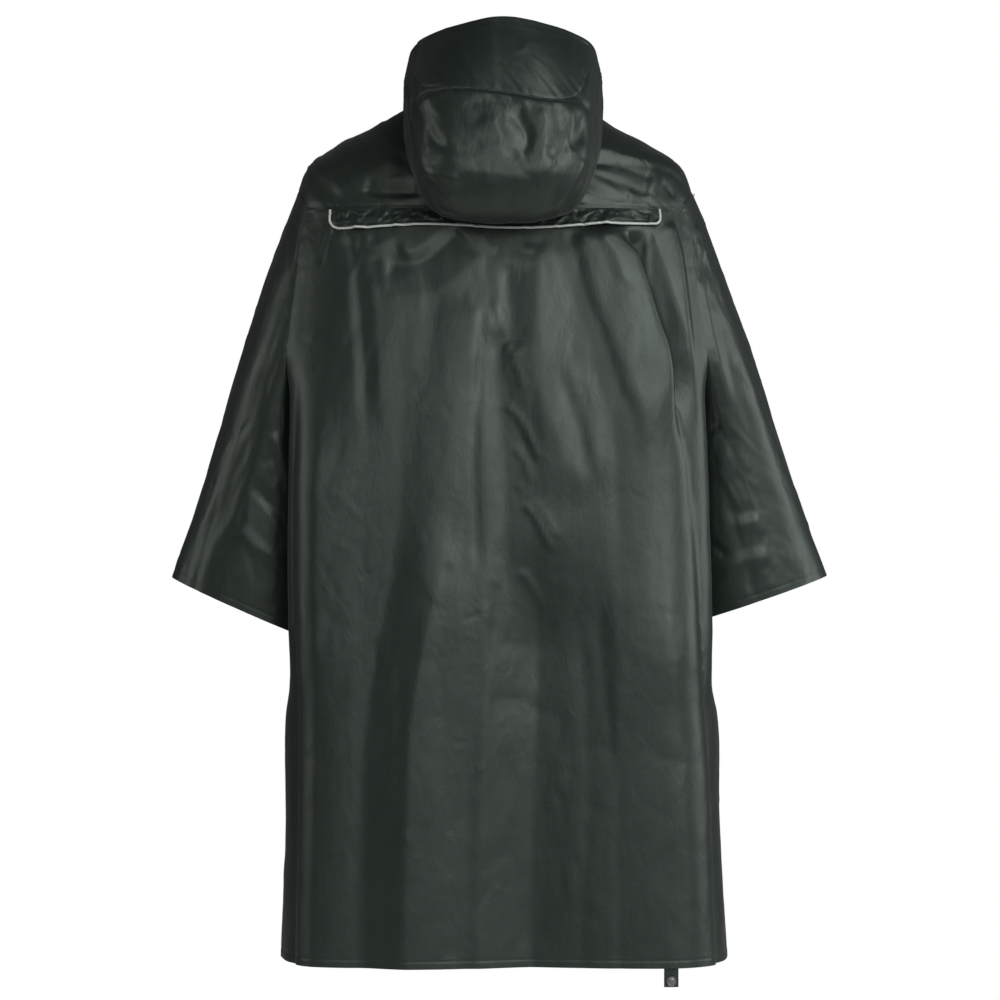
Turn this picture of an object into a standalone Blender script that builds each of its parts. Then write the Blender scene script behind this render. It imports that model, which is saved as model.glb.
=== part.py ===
"""Rain poncho: a pull-over of thin coated nylon with a yoke, wide sleeves and an open hood.

It is filled out as if worn, with nobody in it: hollow, and open at the hood, cuffs and hem.
The front faces -Y and the wearer's left is at +X.  The origin is at the base of the neck,
midway between the shoulders, where a wearer carries it.  Metres, +Z up.

Every panel is a grid laid on the garment's shape, given a wall by Solidify.
"""

import math
from collections import namedtuple

import bmesh
import bpy
from mathutils import Vector

# ---------------------------------------------------------------- sizes
CLOTH = 0.001  # wall of the coated nylon
SEAM_GAP = 0.0006  # between two panels that are sewn together
NOTCH_SHARE = 9.0  # the under-sleeve turns sharply at the notch, so it starts further off there
UNDERARM_STAND_OFF = 0.0011  # the sleeve's lower armhole edge lies on the body's edge
UNDERARM_SHIFT = -0.067  # the under-sleeve's middle leaves the armhole this much further down
SETTLING_ROWS = 4  # rows in which the under-sleeve leaves the armhole's shape for its own
YOKE_Z = -0.118  # yoke seam, across the back and the front
NOTCH_Z = -0.295  # where the sleeve seam leaves the body panels
UNDERARM_Z = -0.380
HEM_Z = -1.072
CUFF_Z = -0.603  # sleeve seam at the cuff
RECESS_REACH = 0.115  # half the width of the hollow at the body's side
CORNER_ABOVE = math.radians(40)  # where a body panel turns towards its edge, above the notch
CORNER_BELOW = math.radians(52)  # and below the underarm, at the fold beside the sleeve
LEAN_AT_NECK = 0.0077  # the garment hangs a little to the left at the top
LEAN_PER_METRE = 0.0124
LEFT_CUFF_TILT = 0.30  # the left cuff slants this much more than the right
LEFT_CUFF_DROP = 0.0075

FLAP_LEFT = 0.207
FLAP_RIGHT = -0.206
FLAP_HEIGHT = 0.0225
FLAP_CORNER = 0.010
FLAP_CORNER_FULLNESS = 0.9
FLAP_CLEARANCE = 0.0006  # between the back and the flap's inner face, at its seam
FLAP_STAND_OFF = 0.0035  # how far its lower edge stands away from the back
FLAP_BELOW_SEAM = 0.0008
FLAP_DROPS = (0.0, 0.45, 0.68, 0.88, 1.0)  # share of its height at each row
PIPING_RADIUS = 0.0016
PIPING_GAP = 0.0006
FRONT_PIPING_BELOW_SEAM = 0.0012
FRONT_PIPING_SPAN = 0.9  # how much of the front's width the front piping runs along
TAB_X = -0.215
TAB_WIDTH = 0.018
TAB_LENGTH = 0.043
TAB_HANGS = 0.023  # below the hem
TAB_THICKNESS = 0.0016
TAB_CLEARANCE = 0.0010  # between the tab and the inside of the hem
SNAP_RADIUS = 0.006
SNAP_HEIGHT = 0.0022
SNAP_GAP = 0.0003
SNAP_ABOVE_END = 0.0015  # from the tab's lower end to the snap's rim
SURFACE_STEP = 0.004  # length over which a surface's direction is measured
TURN_STEP = 0.02  # and the angle, on a sleeve's oval

# ---------------------------------------------------------------- grid sizes
PANEL_COLUMNS = 14  # across the flat of the back or the front
SIDE_COLUMNS = 3  # round each of its sides
SLEEVE_COLUMNS = 6
UPPER_ROWS = 5  # body rows from the yoke seam to the notch
ARMHOLE_ROWS = 5  # body rows from the notch to the underarm
LOWER_ROWS = 8  # body rows from the underarm to the hem
ARM_ROWS = 9  # sleeve rows from the notch to the cuff
YOKE_ROWS = 5
BAG_ROWS = 8
BRIM_ROWS = 2
FLAP_COLUMNS = 22
RIDGE_PIPING_STEPS = 7  # from the sleeve's ridge to the front panel
FRONT_PIPING_STEPS = 20

# ---------------------------------------------------------------- tables
# Level sections of the body: half width, depth behind and before the side seam,
# how boxy the oval is, and how deep the hollow under the arm is.
Section = namedtuple("Section", "z width back front boxiness recess")
BODY = (
    Section(-0.118, 0.269, 0.118, 0.120, 2.8, 0.000),
    Section(-0.180, 0.281, 0.130, 0.131, 3.0, 0.000),
    Section(-0.295, 0.296, 0.143, 0.140, 3.2, 0.000),
    Section(-0.340, 0.296, 0.145, 0.142, 3.2, 0.064),
    Section(-0.380, 0.296, 0.147, 0.144, 3.2, 0.074),
    Section(-0.500, 0.297, 0.150, 0.147, 3.3, 0.077),
    Section(-0.640, 0.297, 0.152, 0.149, 3.3, 0.070),
    Section(-0.700, 0.288, 0.154, 0.150, 3.4, 0.036),
    Section(-0.760, 0.278, 0.156, 0.151, 3.5, 0.000),
    Section(-0.900, 0.280, 0.160, 0.153, 3.7, 0.000),
    Section(-1.072, 0.287, 0.165, 0.157, 3.9, 0.000),
)

# The sleeve along its seam: the seam's own place, the outer ridge, how much higher the ridge
# is than the seam, and where its oval closes on the inner side.
Station = namedtuple("Station", "z seam_x seam_y ridge_x lift inner_x")
SLEEVE = (
    Station(-0.118, 0.239, 0.075, 0.256, 0.028, 0.203),
    Station(-0.150, 0.249, 0.082, 0.270, 0.025, 0.203),
    Station(-0.200, 0.253, 0.088, 0.2895, 0.022, 0.200),
    Station(-0.295, 0.266, 0.095, 0.3235, 0.021, 0.200),
    Station(-0.362, 0.280, 0.084, 0.3440, 0.023, 0.230),
    Station(-0.424, 0.300, 0.074, 0.3625, 0.023, 0.237),
    Station(-0.514, 0.340, 0.062, 0.3930, 0.020, 0.241),
    Station(-0.603, 0.374, 0.052, 0.4255, 0.0177, 0.245),
)

# Closed rings of the yoke from the neck outwards; its last ring is the seam below.
Ring = namedtuple("Ring", "width back front boxiness side_z back_z front_z lean")
NECK = Ring(0.100, 0.078, 0.103, 2.0, 0.030, 0.018, -0.045, 0.0)
YOKE = (
    NECK,
    Ring(0.150, 0.098, 0.118, 2.2, 0.000, -0.024, -0.064, 1.0),
    Ring(0.205, 0.111, 0.121, 2.5, -0.029, -0.060, -0.086, 1.0),
    Ring(0.240, 0.116, 0.121, 2.7, -0.054, -0.092, -0.105, 1.0),
)

# Upright ribs of the hood round its own axis, from the back (0) over the side to the front (180):
# distance out and height of the nape, the lowest point, the bulge, the brim seam and the edge.
Rib = namedtuple(
    "Rib", "angle nape nape_z low low_z bulge bulge_z seam seam_z edge edge_z"
)
HOOD_X = -0.004  # the hood's axis, a little right of the neck's middle
HOOD_Y = 0.030
HOOD = (
    Rib(0, 0.090, -0.018, 0.138, -0.142, 0.187, -0.084, 0.148, 0.038, 0.104, 0.1215),
    Rib(30, 0.096, -0.014, 0.150, -0.130, 0.192, -0.074, 0.155, 0.040, 0.112, 0.1125),
    Rib(45, 0.101, 0.002, 0.145, -0.092, 0.165, -0.046, 0.150, 0.043, 0.118, 0.103),
    Rib(60, 0.108, 0.022, 0.140, -0.046, 0.144, -0.008, 0.139, 0.046, 0.123, 0.090),
    Rib(90, 0.107, 0.048, 0.117, 0.048, 0.124, 0.056, 0.124, 0.063, 0.121, 0.073),
    Rib(135, 0.124, 0.020, 0.129, 0.026, 0.132, 0.034, 0.131, 0.044, 0.128, 0.058),
    Rib(180, 0.136, -0.036, 0.140, -0.028, 0.143, -0.014, 0.143, 0.004, 0.140, 0.022),
)

# The largest folds of the two body panels: where each starts and ends, half its width,
# and its height, which is below zero for a trough.
Fold = namedtuple("Fold", "top_x top_z foot_x foot_z reach height")
BACK_FOLDS = (
    Fold(-0.160, -0.130, -0.250, -0.640, 0.045, 0.012),
    Fold(-0.085, -0.150, -0.150, -0.440, 0.040, -0.007),
    Fold(-0.005, -0.220, -0.050, -1.072, 0.060, -0.013),
    Fold(0.045, -0.180, 0.115, -1.072, 0.060, 0.010),
    Fold(0.205, -0.500, 0.200, -1.072, 0.050, -0.007),
    Fold(0.185, -0.170, 0.170, -0.560, 0.045, -0.008),
    Fold(-0.200, -0.560, -0.232, -1.072, 0.075, 0.008),
)
FRONT_FOLDS = (
    Fold(-0.170, -0.170, -0.200, -1.072, 0.050, 0.010),
    Fold(-0.080, -0.300, -0.110, -1.072, 0.050, -0.010),
    Fold(0.010, -0.220, 0.000, -1.072, 0.055, 0.010),
    Fold(0.110, -0.260, 0.120, -1.072, 0.050, -0.011),
    Fold(0.180, -0.190, 0.205, -0.900, 0.045, 0.009),
)
FOLD_FADES_IN = 0.12  # length over which a fold rises from nothing


# ---------------------------------------------------------------- smooth tables
def along(knots, values, place):
    """The value at a place on the smooth curve through (knot, value), knots in order."""
    last = len(knots) - 1
    down = knots[last] < knots[0]
    i = 0
    while i < last - 1 and ((place < knots[i + 1]) if down else (place > knots[i + 1])):
        i += 1
    slopes = []
    for k in (i, i + 1):
        before, after = max(k - 1, 0), min(k + 1, last)
        slopes.append((values[after] - values[before]) / (knots[after] - knots[before]))
    span = knots[i + 1] - knots[i]
    t = min(max((place - knots[i]) / span, 0.0), 1.0)
    return (
        values[i] * (1 + 2 * t) * (1 - t) ** 2
        + slopes[0] * span * t * (1 - t) ** 2
        + values[i + 1] * t * t * (3 - 2 * t)
        - slopes[1] * span * t * t * (1 - t)
    )


def row_at(table, key, place):
    """A whole row of a table, worked out between the rows that are written down."""
    knots = [getattr(row, key) for row in table]
    kind = type(table[0])
    return kind(*(along(knots, [row[c] for row in table], place) for c in range(len(kind._fields))))


def lean(z):
    """How far to the left the garment's middle hangs at a height."""
    return LEAN_AT_NECK + LEAN_PER_METRE * z


def oval(angle, width, depth, boxiness):
    """A point of a boxy oval; angle 0 is along the depth and 90 degrees along the width."""
    across, deep = math.sin(angle), math.cos(angle)
    reach = (abs(across) ** boxiness + abs(deep) ** boxiness) ** (-1 / boxiness)
    return width * across * reach, depth * deep * reach


def inwardness(column, columns):
    """0 at both edges of a row and 1 in its middle."""
    return 1 - abs(2 * column / columns - 1)


# ---------------------------------------------------------------- body
def fold_height(folds, x, z):
    """How far the folds lift the cloth at a place on a body panel."""
    total = 0.0
    for fold in folds:
        share = (fold.top_z - z) / (fold.top_z - fold.foot_z)
        if not 0.0 < share < 1.0:
            continue
        middle = fold.top_x + (fold.foot_x - fold.top_x) * share
        offset = abs(x - middle) / fold.reach
        if offset >= 1.0:
            continue
        rise = min((fold.top_z - z) / FOLD_FADES_IN, 1.0)
        fall = min((z - fold.foot_z) / FOLD_FADES_IN, 1.0)
        if fold.foot_z <= HEM_Z:
            fall = 1.0
        total += fold.height * (1 - offset**2) ** 2 * rise * fall
    return total


def body_point(z, angle):
    """The body at a height; angle 0 is the middle of the back, 90 degrees the left side."""
    section = row_at(BODY, "z", z)
    behind = math.cos(angle) >= 0
    depth = section.back if behind else section.front
    x, y = oval(angle, section.width, depth, section.boxiness)
    nearness = max(0.0, 1 - (y / RECESS_REACH) ** 2)
    x -= math.copysign(section.recess * nearness**2, x)
    flatness = max(0.0, 1 - abs(x / section.width) ** 4) * abs(math.cos(angle))
    lift = fold_height(BACK_FOLDS if behind else FRONT_FOLDS, x, z) * flatness
    y += lift if behind else -lift
    return Vector((x + lean(z), y, z))


def body_oval(z, angle):
    """How far across and how deep the body's plain oval is at an angle of its back half."""
    section = row_at(BODY, "z", z)
    return oval(angle, section.width, section.back, section.boxiness)


def angle_where(short_of):
    """The angle up to a quarter turn at which short_of(angle) stops being true."""
    low, high = 0.0, math.pi / 2
    for _ in range(40):
        middle = (low + high) / 2
        low, high = (middle, high) if short_of(middle) else (low, middle)
    return low


def angle_at_x(z, x):
    """The angle on the body's back half where its oval is x from the middle."""
    return angle_where(lambda angle: body_oval(z, angle)[0] < x)


def angle_at_y(z, y):
    """The angle on the body's back half where its oval's depth is y."""
    return angle_where(lambda angle: body_oval(z, angle)[1] > y)


def armhole_rows():
    """Heights of the body rows from the notch to the underarm, and each edge's share of depth."""
    rows = []
    for i in range(1, ARMHOLE_ROWS + 1):
        share = i / ARMHOLE_ROWS
        drop = 1 - (1 - share) ** 1.5
        rows.append((NOTCH_Z + (UNDERARM_Z - NOTCH_Z) * drop, 1 - share**2))
    return rows


def body_rows():
    """(height, angle of the edge) of each row of a body panel, from the yoke seam to the hem."""
    rows = []
    for i in range(UPPER_ROWS + 1):
        z = YOKE_Z + (NOTCH_Z - YOKE_Z) * i / UPPER_ROWS
        rows.append((z, angle_at_x(z, row_at(SLEEVE, "z", z).seam_x)))
    notch_depth = body_oval(*rows[-1])[1]
    for z, share in armhole_rows():
        rows.append((z, angle_at_y(z, notch_depth * share)))
    for i in range(1, LOWER_ROWS + 1):
        z = UNDERARM_Z + (HEM_Z - UNDERARM_Z) * i / LOWER_ROWS
        rows.append((z, math.pi / 2))
    return rows


def evenly(curve, start, end, count):
    """count + 1 points at even distances along a curve of one number."""
    steps = 160
    numbers = [start + (end - start) * i / steps for i in range(steps + 1)]
    points = [curve(number) for number in numbers]
    lengths = [0.0]
    for before, after in zip(points, points[1:]):
        lengths.append(lengths[-1] + (after - before).length)
    spaced, i = [], 0
    for k in range(count + 1):
        wanted = lengths[-1] * k / count
        while i < steps - 1 and lengths[i + 1] < wanted:
            i += 1
        share = (wanted - lengths[i]) / (lengths[i + 1] - lengths[i])
        spaced.append(curve(numbers[i] + (numbers[i + 1] - numbers[i]) * share))
    return spaced


def panel_row(z, edge, middle):
    """A row of a body panel: its flat, and on each side the stretch round to its edge."""
    share = min(max((NOTCH_Z - z) / (NOTCH_Z - UNDERARM_Z), 0.0), 1.0)
    corner = CORNER_ABOVE + (CORNER_BELOW - CORNER_ABOVE) * share
    row = []
    for start, end, count in (
        (-edge, -corner, SIDE_COLUMNS),
        (-corner, corner, PANEL_COLUMNS),
        (corner, edge, SIDE_COLUMNS),
    ):
        stretch = evenly(lambda angle: body_point(z, middle + angle), start, end, count)
        row += stretch if not row else stretch[1:]
    return row


def back_row(z, edge):
    return panel_row(z, edge, 0.0)


def front_row(z, edge):
    return panel_row(z, edge, math.pi)


# ---------------------------------------------------------------- sleeves
def front_share(z):
    """How deep the front of the sleeve is, next to its back."""
    section = row_at(BODY, "z", max(z, NOTCH_Z))
    return section.front / section.back


def seam_depth(z):
    """How far behind the middle the sleeve's back seam lies: on the body, then on the arm."""
    station = row_at(SLEEVE, "z", z)
    if z > NOTCH_Z:
        return body_point(z, angle_at_x(z, station.seam_x)).y
    at_notch = body_point(NOTCH_Z, angle_at_x(NOTCH_Z, row_at(SLEEVE, "z", NOTCH_Z).seam_x)).y
    return at_notch * station.seam_y / row_at(SLEEVE, "z", NOTCH_Z).seam_y


def seam_turn(station):
    """The angle on the sleeve's oval, from its outer ridge, where the seams lie."""
    ratio = (station.seam_x - station.inner_x) / (station.ridge_x - station.seam_x)
    return math.acos((ratio - 1) / (ratio + 1))


def sleeve_point(z, turn, side):
    """The sleeve at a height of its seam; turn 0 is the outer ridge, above 0 the back."""
    station = row_at(SLEEVE, "z", z)
    at_seam = seam_turn(station)
    outward = (math.cos(turn) - math.cos(at_seam)) / (1 - math.cos(at_seam))
    x = station.seam_x + (station.ridge_x - station.seam_x) * outward
    y = seam_depth(z) * math.sin(turn) / math.sin(at_seam)
    if turn < 0 or turn > math.pi:
        y *= front_share(z)
    height = z + station.lift * outward
    if side > 0:
        down_the_arm = min(max((NOTCH_Z - z) / (NOTCH_Z - CUFF_Z), 0.0), 1.0)
        height += (station.lift * outward * LEFT_CUFF_TILT - LEFT_CUFF_DROP) * down_the_arm
    return Vector((side * x + lean(height), y, height))


def sleeve_outer_row(z, side):
    """A row of the outer strip from the back seam over the ridge to the front seam."""
    reach = seam_turn(row_at(SLEEVE, "z", z))
    turns = [reach * (1 - 2 * i / SLEEVE_COLUMNS) for i in range(SLEEVE_COLUMNS + 1)]
    return [sleeve_point(z, turn, side) for turn in turns]


def arm_rows():
    return [NOTCH_Z + (CUFF_Z - NOTCH_Z) * i / ARM_ROWS for i in range(ARM_ROWS + 1)]


def armhole_curve(side):
    """The lower armhole from the notch at the back, under the arm, to the notch at the front."""
    rows = body_rows()[UPPER_ROWS : UPPER_ROWS + ARMHOLE_ROWS + 1]
    back = [body_point(z, side * edge) for z, edge in rows]
    front = [body_point(z, math.pi - side * edge) for z, edge in rows[:-1]]
    return back + front[::-1]


def sleeve_under_grid(side):
    """The under-sleeve from the armhole to the cuff; its columns run under the arm."""
    columns = 2 * ARMHOLE_ROWS
    grid = []
    for r, seam_z in enumerate(arm_rows()):
        row = []
        for c in range(columns + 1):
            share = inwardness(c, columns)
            z = seam_z + UNDERARM_SHIFT * (1 - (1 - share) ** 2) * (1 - r / ARM_ROWS)
            at_seam = seam_turn(row_at(SLEEVE, "z", z))
            turn = at_seam + (math.pi - at_seam) * share
            row.append(sleeve_point(z, turn if 2 * c <= columns else 2 * math.pi - turn, side))
        grid.append(row)
    corrections = [wanted - found for wanted, found in zip(armhole_curve(side), grid[0])]
    for c, change in enumerate(corrections):
        change.x += side * UNDERARM_STAND_OFF * inwardness(c, columns)
    for r, row in enumerate(grid[:SETTLING_ROWS]):
        for point, change in zip(row, corrections):
            point += change * (1 - r / SETTLING_ROWS) ** 2
    return grid


# ---------------------------------------------------------------- yoke and hood
def yoke_seam():
    """The yoke's lower seam, all round: back from right to left, left sleeve, front, right sleeve."""
    edge = body_rows()[0][1]
    ring = back_row(YOKE_Z, edge)
    ring += sleeve_outer_row(YOKE_Z, 1)[1:]
    ring += front_row(YOKE_Z, edge)[1:]
    ring += sleeve_outer_row(YOKE_Z, -1)[::-1][1:]
    return ring


def seam_angles():
    """The angle of each point of the yoke seam, which every ring above it shares."""
    shape = YOKE[-1]
    angles = []
    for point in yoke_seam():
        depth = shape.back if point.y >= 0 else shape.front
        angles.append(math.atan2((point.x - lean(point.z)) / shape.width, point.y / depth))
    return angles


def ring_point(ring, angle):
    behind = math.cos(angle) >= 0
    depth = ring.back if behind else ring.front
    x, y = oval(angle, ring.width, depth, ring.boxiness)
    end_z = ring.back_z if behind else ring.front_z
    z = ring.side_z + (end_z - ring.side_z) * math.cos(angle) ** 2
    return Vector((x + ring.lean * lean(z), y, z))


def through(points, place):
    """A point on the smooth curve through points, place counted in points."""
    knots = list(range(len(points)))
    return Vector([along(knots, [point[axis] for point in points], place) for axis in range(3)])


def yoke_grid():
    seam = yoke_seam()
    angles = seam_angles()
    grid = []
    for r in range(YOKE_ROWS + 1):
        place = len(YOKE) * r / YOKE_ROWS
        row = []
        for angle, end in zip(angles, seam):
            profile = [ring_point(ring, angle) for ring in YOKE] + [end]
            row.append(through(profile, place))
        grid.append(row)
    return grid


def hood_profile(angle):
    """The hood's upright outline at an angle: neck, nape, lowest point, bulge, seam, edge."""
    turn = math.degrees(abs(math.atan2(math.sin(angle), math.cos(angle))))
    rib = row_at(HOOD, "angle", turn)
    pairs = (
        (rib.nape, rib.nape_z),
        (rib.low, rib.low_z),
        (rib.bulge, rib.bulge_z),
        (rib.seam, rib.seam_z),
        (rib.edge, rib.edge_z),
    )
    points = [ring_point(NECK, angle)]
    for out, z in pairs:
        points.append(Vector((HOOD_X + out * math.sin(angle), HOOD_Y + out * math.cos(angle), z)))
    return points


def hood_grid(first, last, rows):
    """Rows of the hood between two places of its profile, counted in points."""
    profiles = [hood_profile(angle) for angle in seam_angles()]
    grid = []
    for r in range(rows + 1):
        place = first + (last - first) * r / rows
        grid.append([through(profile, place) for profile in profiles])
    return grid


# ---------------------------------------------------------------- flap and piping
def body_surface(x, z, behind=True):
    """(point, outward normal) of a body panel x from the garment's middle."""
    def at(x_there, z_there):
        angle = angle_at_x(z_there, abs(x_there))
        angle = math.copysign(angle, x_there)
        return body_point(z_there, angle if behind else math.pi - angle)

    along_x = at(x + SURFACE_STEP, z) - at(x - SURFACE_STEP, z)
    along_z = at(x, z - SURFACE_STEP) - at(x, z + SURFACE_STEP)
    normal = along_x.cross(along_z).normalized()
    return at(x, z), normal if behind else -normal


def flap_grid():
    """The vent flap: from the yoke seam down over the back, standing off a little below."""
    grid = []
    for drop in FLAP_DROPS:
        z = YOKE_Z - FLAP_BELOW_SEAM - FLAP_HEIGHT * drop
        bite = max(0.0, 1 - FLAP_HEIGHT * (1 - drop) / FLAP_CORNER)
        inset = FLAP_CORNER * FLAP_CORNER_FULLNESS * (1 - math.sqrt(1 - bite**2))
        away = CLOTH + FLAP_CLEARANCE + FLAP_STAND_OFF * drop
        width = FLAP_LEFT - FLAP_RIGHT - 2 * inset
        row = []
        for c in range(FLAP_COLUMNS + 1):
            x = FLAP_RIGHT + inset + width * c / FLAP_COLUMNS
            point, normal = body_surface(x, z)
            row.append(point + normal * away)
        grid.append(row)
    return grid


def flap_outline():
    """The flap's edge from its upper left, round its lower edge, to its upper right."""
    grid = flap_grid()
    left = [row[-1] for row in grid]
    right = [row[0] for row in grid]
    return left[:-1] + grid[-1][::-1] + right[::-1][1:]


def piping_path():
    """Just outside the flap's edge."""
    edge = flap_outline()
    middle = sum(edge, Vector()) / len(edge)
    path = []
    for before, here, after in zip(edge[:-2], edge[1:-1], edge[2:]):
        tangent = (after - before).normalized()
        outward = tangent.cross(Vector((0, 1, 0))).normalized()
        if outward.dot(here - middle) < 0:
            outward = -outward
        path.append(here + outward * (PIPING_RADIUS + PIPING_GAP) - Vector((0, CLOTH / 2, 0)))
    return path


def front_piping_path():
    """From the right sleeve's ridge along its top seam, then along the front yoke seam."""
    z = YOKE_Z - FRONT_PIPING_BELOW_SEAM
    away = PIPING_RADIUS + PIPING_GAP
    station = row_at(SLEEVE, "z", z)
    path = []
    for i in range(RIDGE_PIPING_STEPS):
        turn = -seam_turn(station) * i / RIDGE_PIPING_STEPS
        point = sleeve_point(z, turn, -1)
        down = sleeve_point(z - SURFACE_STEP, turn, -1) - point
        round_it = sleeve_point(z, turn - TURN_STEP, -1) - sleeve_point(z, turn + TURN_STEP, -1)
        path.append(point + down.cross(round_it).normalized() * away)
    for i in range(FRONT_PIPING_STEPS + 1):
        x = -station.seam_x * (1 - 2 * FRONT_PIPING_SPAN * i / FRONT_PIPING_STEPS)
        point, normal = body_surface(x, z, behind=False)
        path.append(point + normal * away)
    return path


# ---------------------------------------------------------------- finishes
def finish(name, colour, roughness, metallic=0.0):
    material = bpy.data.materials.new(name)
    material.use_nodes = True
    shader = material.node_tree.nodes["Principled BSDF"]
    shader.inputs["Base Color"].default_value = (*colour, 1.0)
    shader.inputs["Roughness"].default_value = roughness
    shader.inputs["Metallic"].default_value = metallic
    return material


# ---------------------------------------------------------------- building
def clear_scene():
    for thing in list(bpy.data.objects):
        bpy.data.objects.remove(thing, do_unlink=True)


def drawn_in(grid, top=False, foot=False, sides=False, first_shares=()):
    """The grid with its sewn edges moved in by half the seam gap.

    first_shares says how many times as far the sides move in the first rows.
    """
    half = SEAM_GAP / 2
    moved = [[point.copy() for point in row] for row in grid]
    ends = ((top, moved[0], grid[0], grid[1]), (foot, moved[-1], grid[-1], grid[-2]))
    for wanted, edge, here, inner in ends:
        if wanted:
            for point, start, towards in zip(edge, here, inner):
                point += (towards - start).normalized() * half
    if sides:
        shares = list(first_shares) + [1.0] * len(grid)
        for row, source, share in zip(moved, grid, shares):
            row[0] += (source[1] - source[0]).normalized() * half * share
            row[-1] += (source[-2] - source[-1]).normalized() * half * share
    return moved


def cloth(name, grid, material, closed=False, turned=False):
    """A panel: a grid laid on the points, turned right side out, with a wall inwards."""
    rows, columns = len(grid) - 1, len(grid[0]) - 1
    shape = bmesh.new()
    bmesh.ops.create_grid(shape, x_segments=columns, y_segments=rows, size=0.5)
    for vert in shape.verts:
        column = round((vert.co.x + 0.5) * columns)
        row = round((vert.co.y + 0.5) * rows)
        vert.co = grid[row][column]
    if closed:
        bmesh.ops.remove_doubles(shape, verts=shape.verts, dist=0.0001)
    if turned:
        bmesh.ops.reverse_faces(shape, faces=shape.faces)
    mesh = bpy.data.meshes.new(name)
    shape.to_mesh(mesh)
    shape.free()
    mesh.shade_smooth()
    mesh.materials.append(material)
    panel = bpy.data.objects.new(name, mesh)
    wall = panel.modifiers.new("Wall", "SOLIDIFY")
    wall.thickness = CLOTH
    wall.offset = -1.0
    return panel


def cord(name, path, material):
    """A round cord along a path."""
    curve = bpy.data.curves.new(name, "CURVE")
    curve.dimensions = "3D"
    curve.bevel_depth = PIPING_RADIUS
    curve.bevel_resolution = 1
    curve.use_fill_caps = True
    spline = curve.splines.new("POLY")
    spline.points.add(len(path) - 1)
    for slot, point in zip(spline.points, path):
        slot.co = (*point, 1.0)
    curve.materials.append(material)
    return bpy.data.objects.new(name, curve)


def hem_tab(material):
    """A short double tab inside the back hem, hanging below it."""
    hem = back_row(HEM_Z, math.pi / 2)
    end = next(i for i, point in enumerate(hem) if point.x > TAB_X)
    start, along_hem = hem[end - 1], (hem[end] - hem[end - 1]).normalized()
    normal = Vector((-along_hem.y, along_hem.x, 0.0))
    point = start + along_hem * (TAB_X - start.x) / along_hem.x
    place = point - normal * (CLOTH + TAB_THICKNESS / 2 + TAB_CLEARANCE)
    bpy.ops.mesh.primitive_cube_add(size=1.0)
    tab = bpy.context.active_object
    tab.name = tab.data.name = "hem_tab"
    reach = Vector((TAB_WIDTH, TAB_THICKNESS, TAB_LENGTH))
    for vert in tab.data.vertices:
        vert.co = Vector(a * b for a, b in zip(vert.co, reach))
    tab.location = (place.x, place.y, HEM_Z - TAB_HANGS + TAB_LENGTH / 2)
    tab.rotation_euler.z = -math.atan2(normal.x, normal.y)
    rounding = tab.modifiers.new("Rounding", "BEVEL")
    rounding.width = 0.0005
    rounding.segments = 1
    tab.data.materials.append(material)
    return tab


def hem_snap(tab, material):
    """The press-stud's cap, on the back of the tab."""
    turn = tab.rotation_euler.z
    bpy.ops.mesh.primitive_cylinder_add(
        vertices=24, radius=SNAP_RADIUS, depth=SNAP_HEIGHT, rotation=(-math.pi / 2, 0, turn)
    )
    snap = bpy.context.active_object
    snap.name = snap.data.name = "hem_snap"
    away = TAB_THICKNESS / 2 + SNAP_HEIGHT / 2 + SNAP_GAP
    place = tab.location + Vector((-math.sin(turn), math.cos(turn), 0)) * away
    snap.location = (place.x, place.y, HEM_Z - TAB_HANGS + SNAP_RADIUS + SNAP_ABOVE_END)
    rounding = snap.modifiers.new("Rounding", "BEVEL")
    rounding.width = 0.0006
    rounding.segments = 2
    snap.data.materials.append(material)
    return snap


def body_panels(green):
    rows = body_rows()
    back = drawn_in([back_row(z, edge) for z, edge in rows], top=True, sides=True)
    front = drawn_in([front_row(z, edge) for z, edge in rows], top=True, sides=True)
    return [
        cloth("back_panel", back, green("back panel")),
        cloth("front_panel", front, green("front panel")),
    ]


def sleeves(green):
    """For each arm the outer strip and the under piece, which part a little more at the notch."""
    upper = [z for z, _ in body_rows()[:UPPER_ROWS]]
    outer_shares = [1.0] * UPPER_ROWS + [2.0, 3.0, 2.5, 2.0, 1.5]
    under_shares = [NOTCH_SHARE, NOTCH_SHARE, NOTCH_SHARE / 2, NOTCH_SHARE / 2, 2.0]
    pieces = []
    for side, word in ((1, "left"), (-1, "right")):
        rows = [sleeve_outer_row(z, side) for z in upper + arm_rows()]
        outer = drawn_in(rows, top=True, sides=True, first_shares=outer_shares)
        under = sleeve_under_grid(side)
        under = drawn_in(under, top=True, sides=True, first_shares=under_shares)
        pieces += [
            cloth(f"sleeve_{word}_outer", outer, green(f"{word} sleeve"), turned=side < 0),
            cloth(f"sleeve_{word}_under", under, green(f"{word} under-sleeve"), turned=side > 0),
        ]
    return pieces


def yoke_and_hood(green):
    yoke = drawn_in(yoke_grid(), top=True, foot=True)
    bag = drawn_in(hood_grid(0, 4, BAG_ROWS), top=True, foot=True)
    brim = drawn_in(hood_grid(4, 5, BRIM_ROWS), top=True)
    return [
        cloth("yoke", yoke, green("yoke"), closed=True),
        cloth("hood_bag", bag, green("hood bag"), closed=True, turned=True),
        cloth("hood_brim", brim, green("hood brim"), closed=True, turned=True),
    ]


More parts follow.
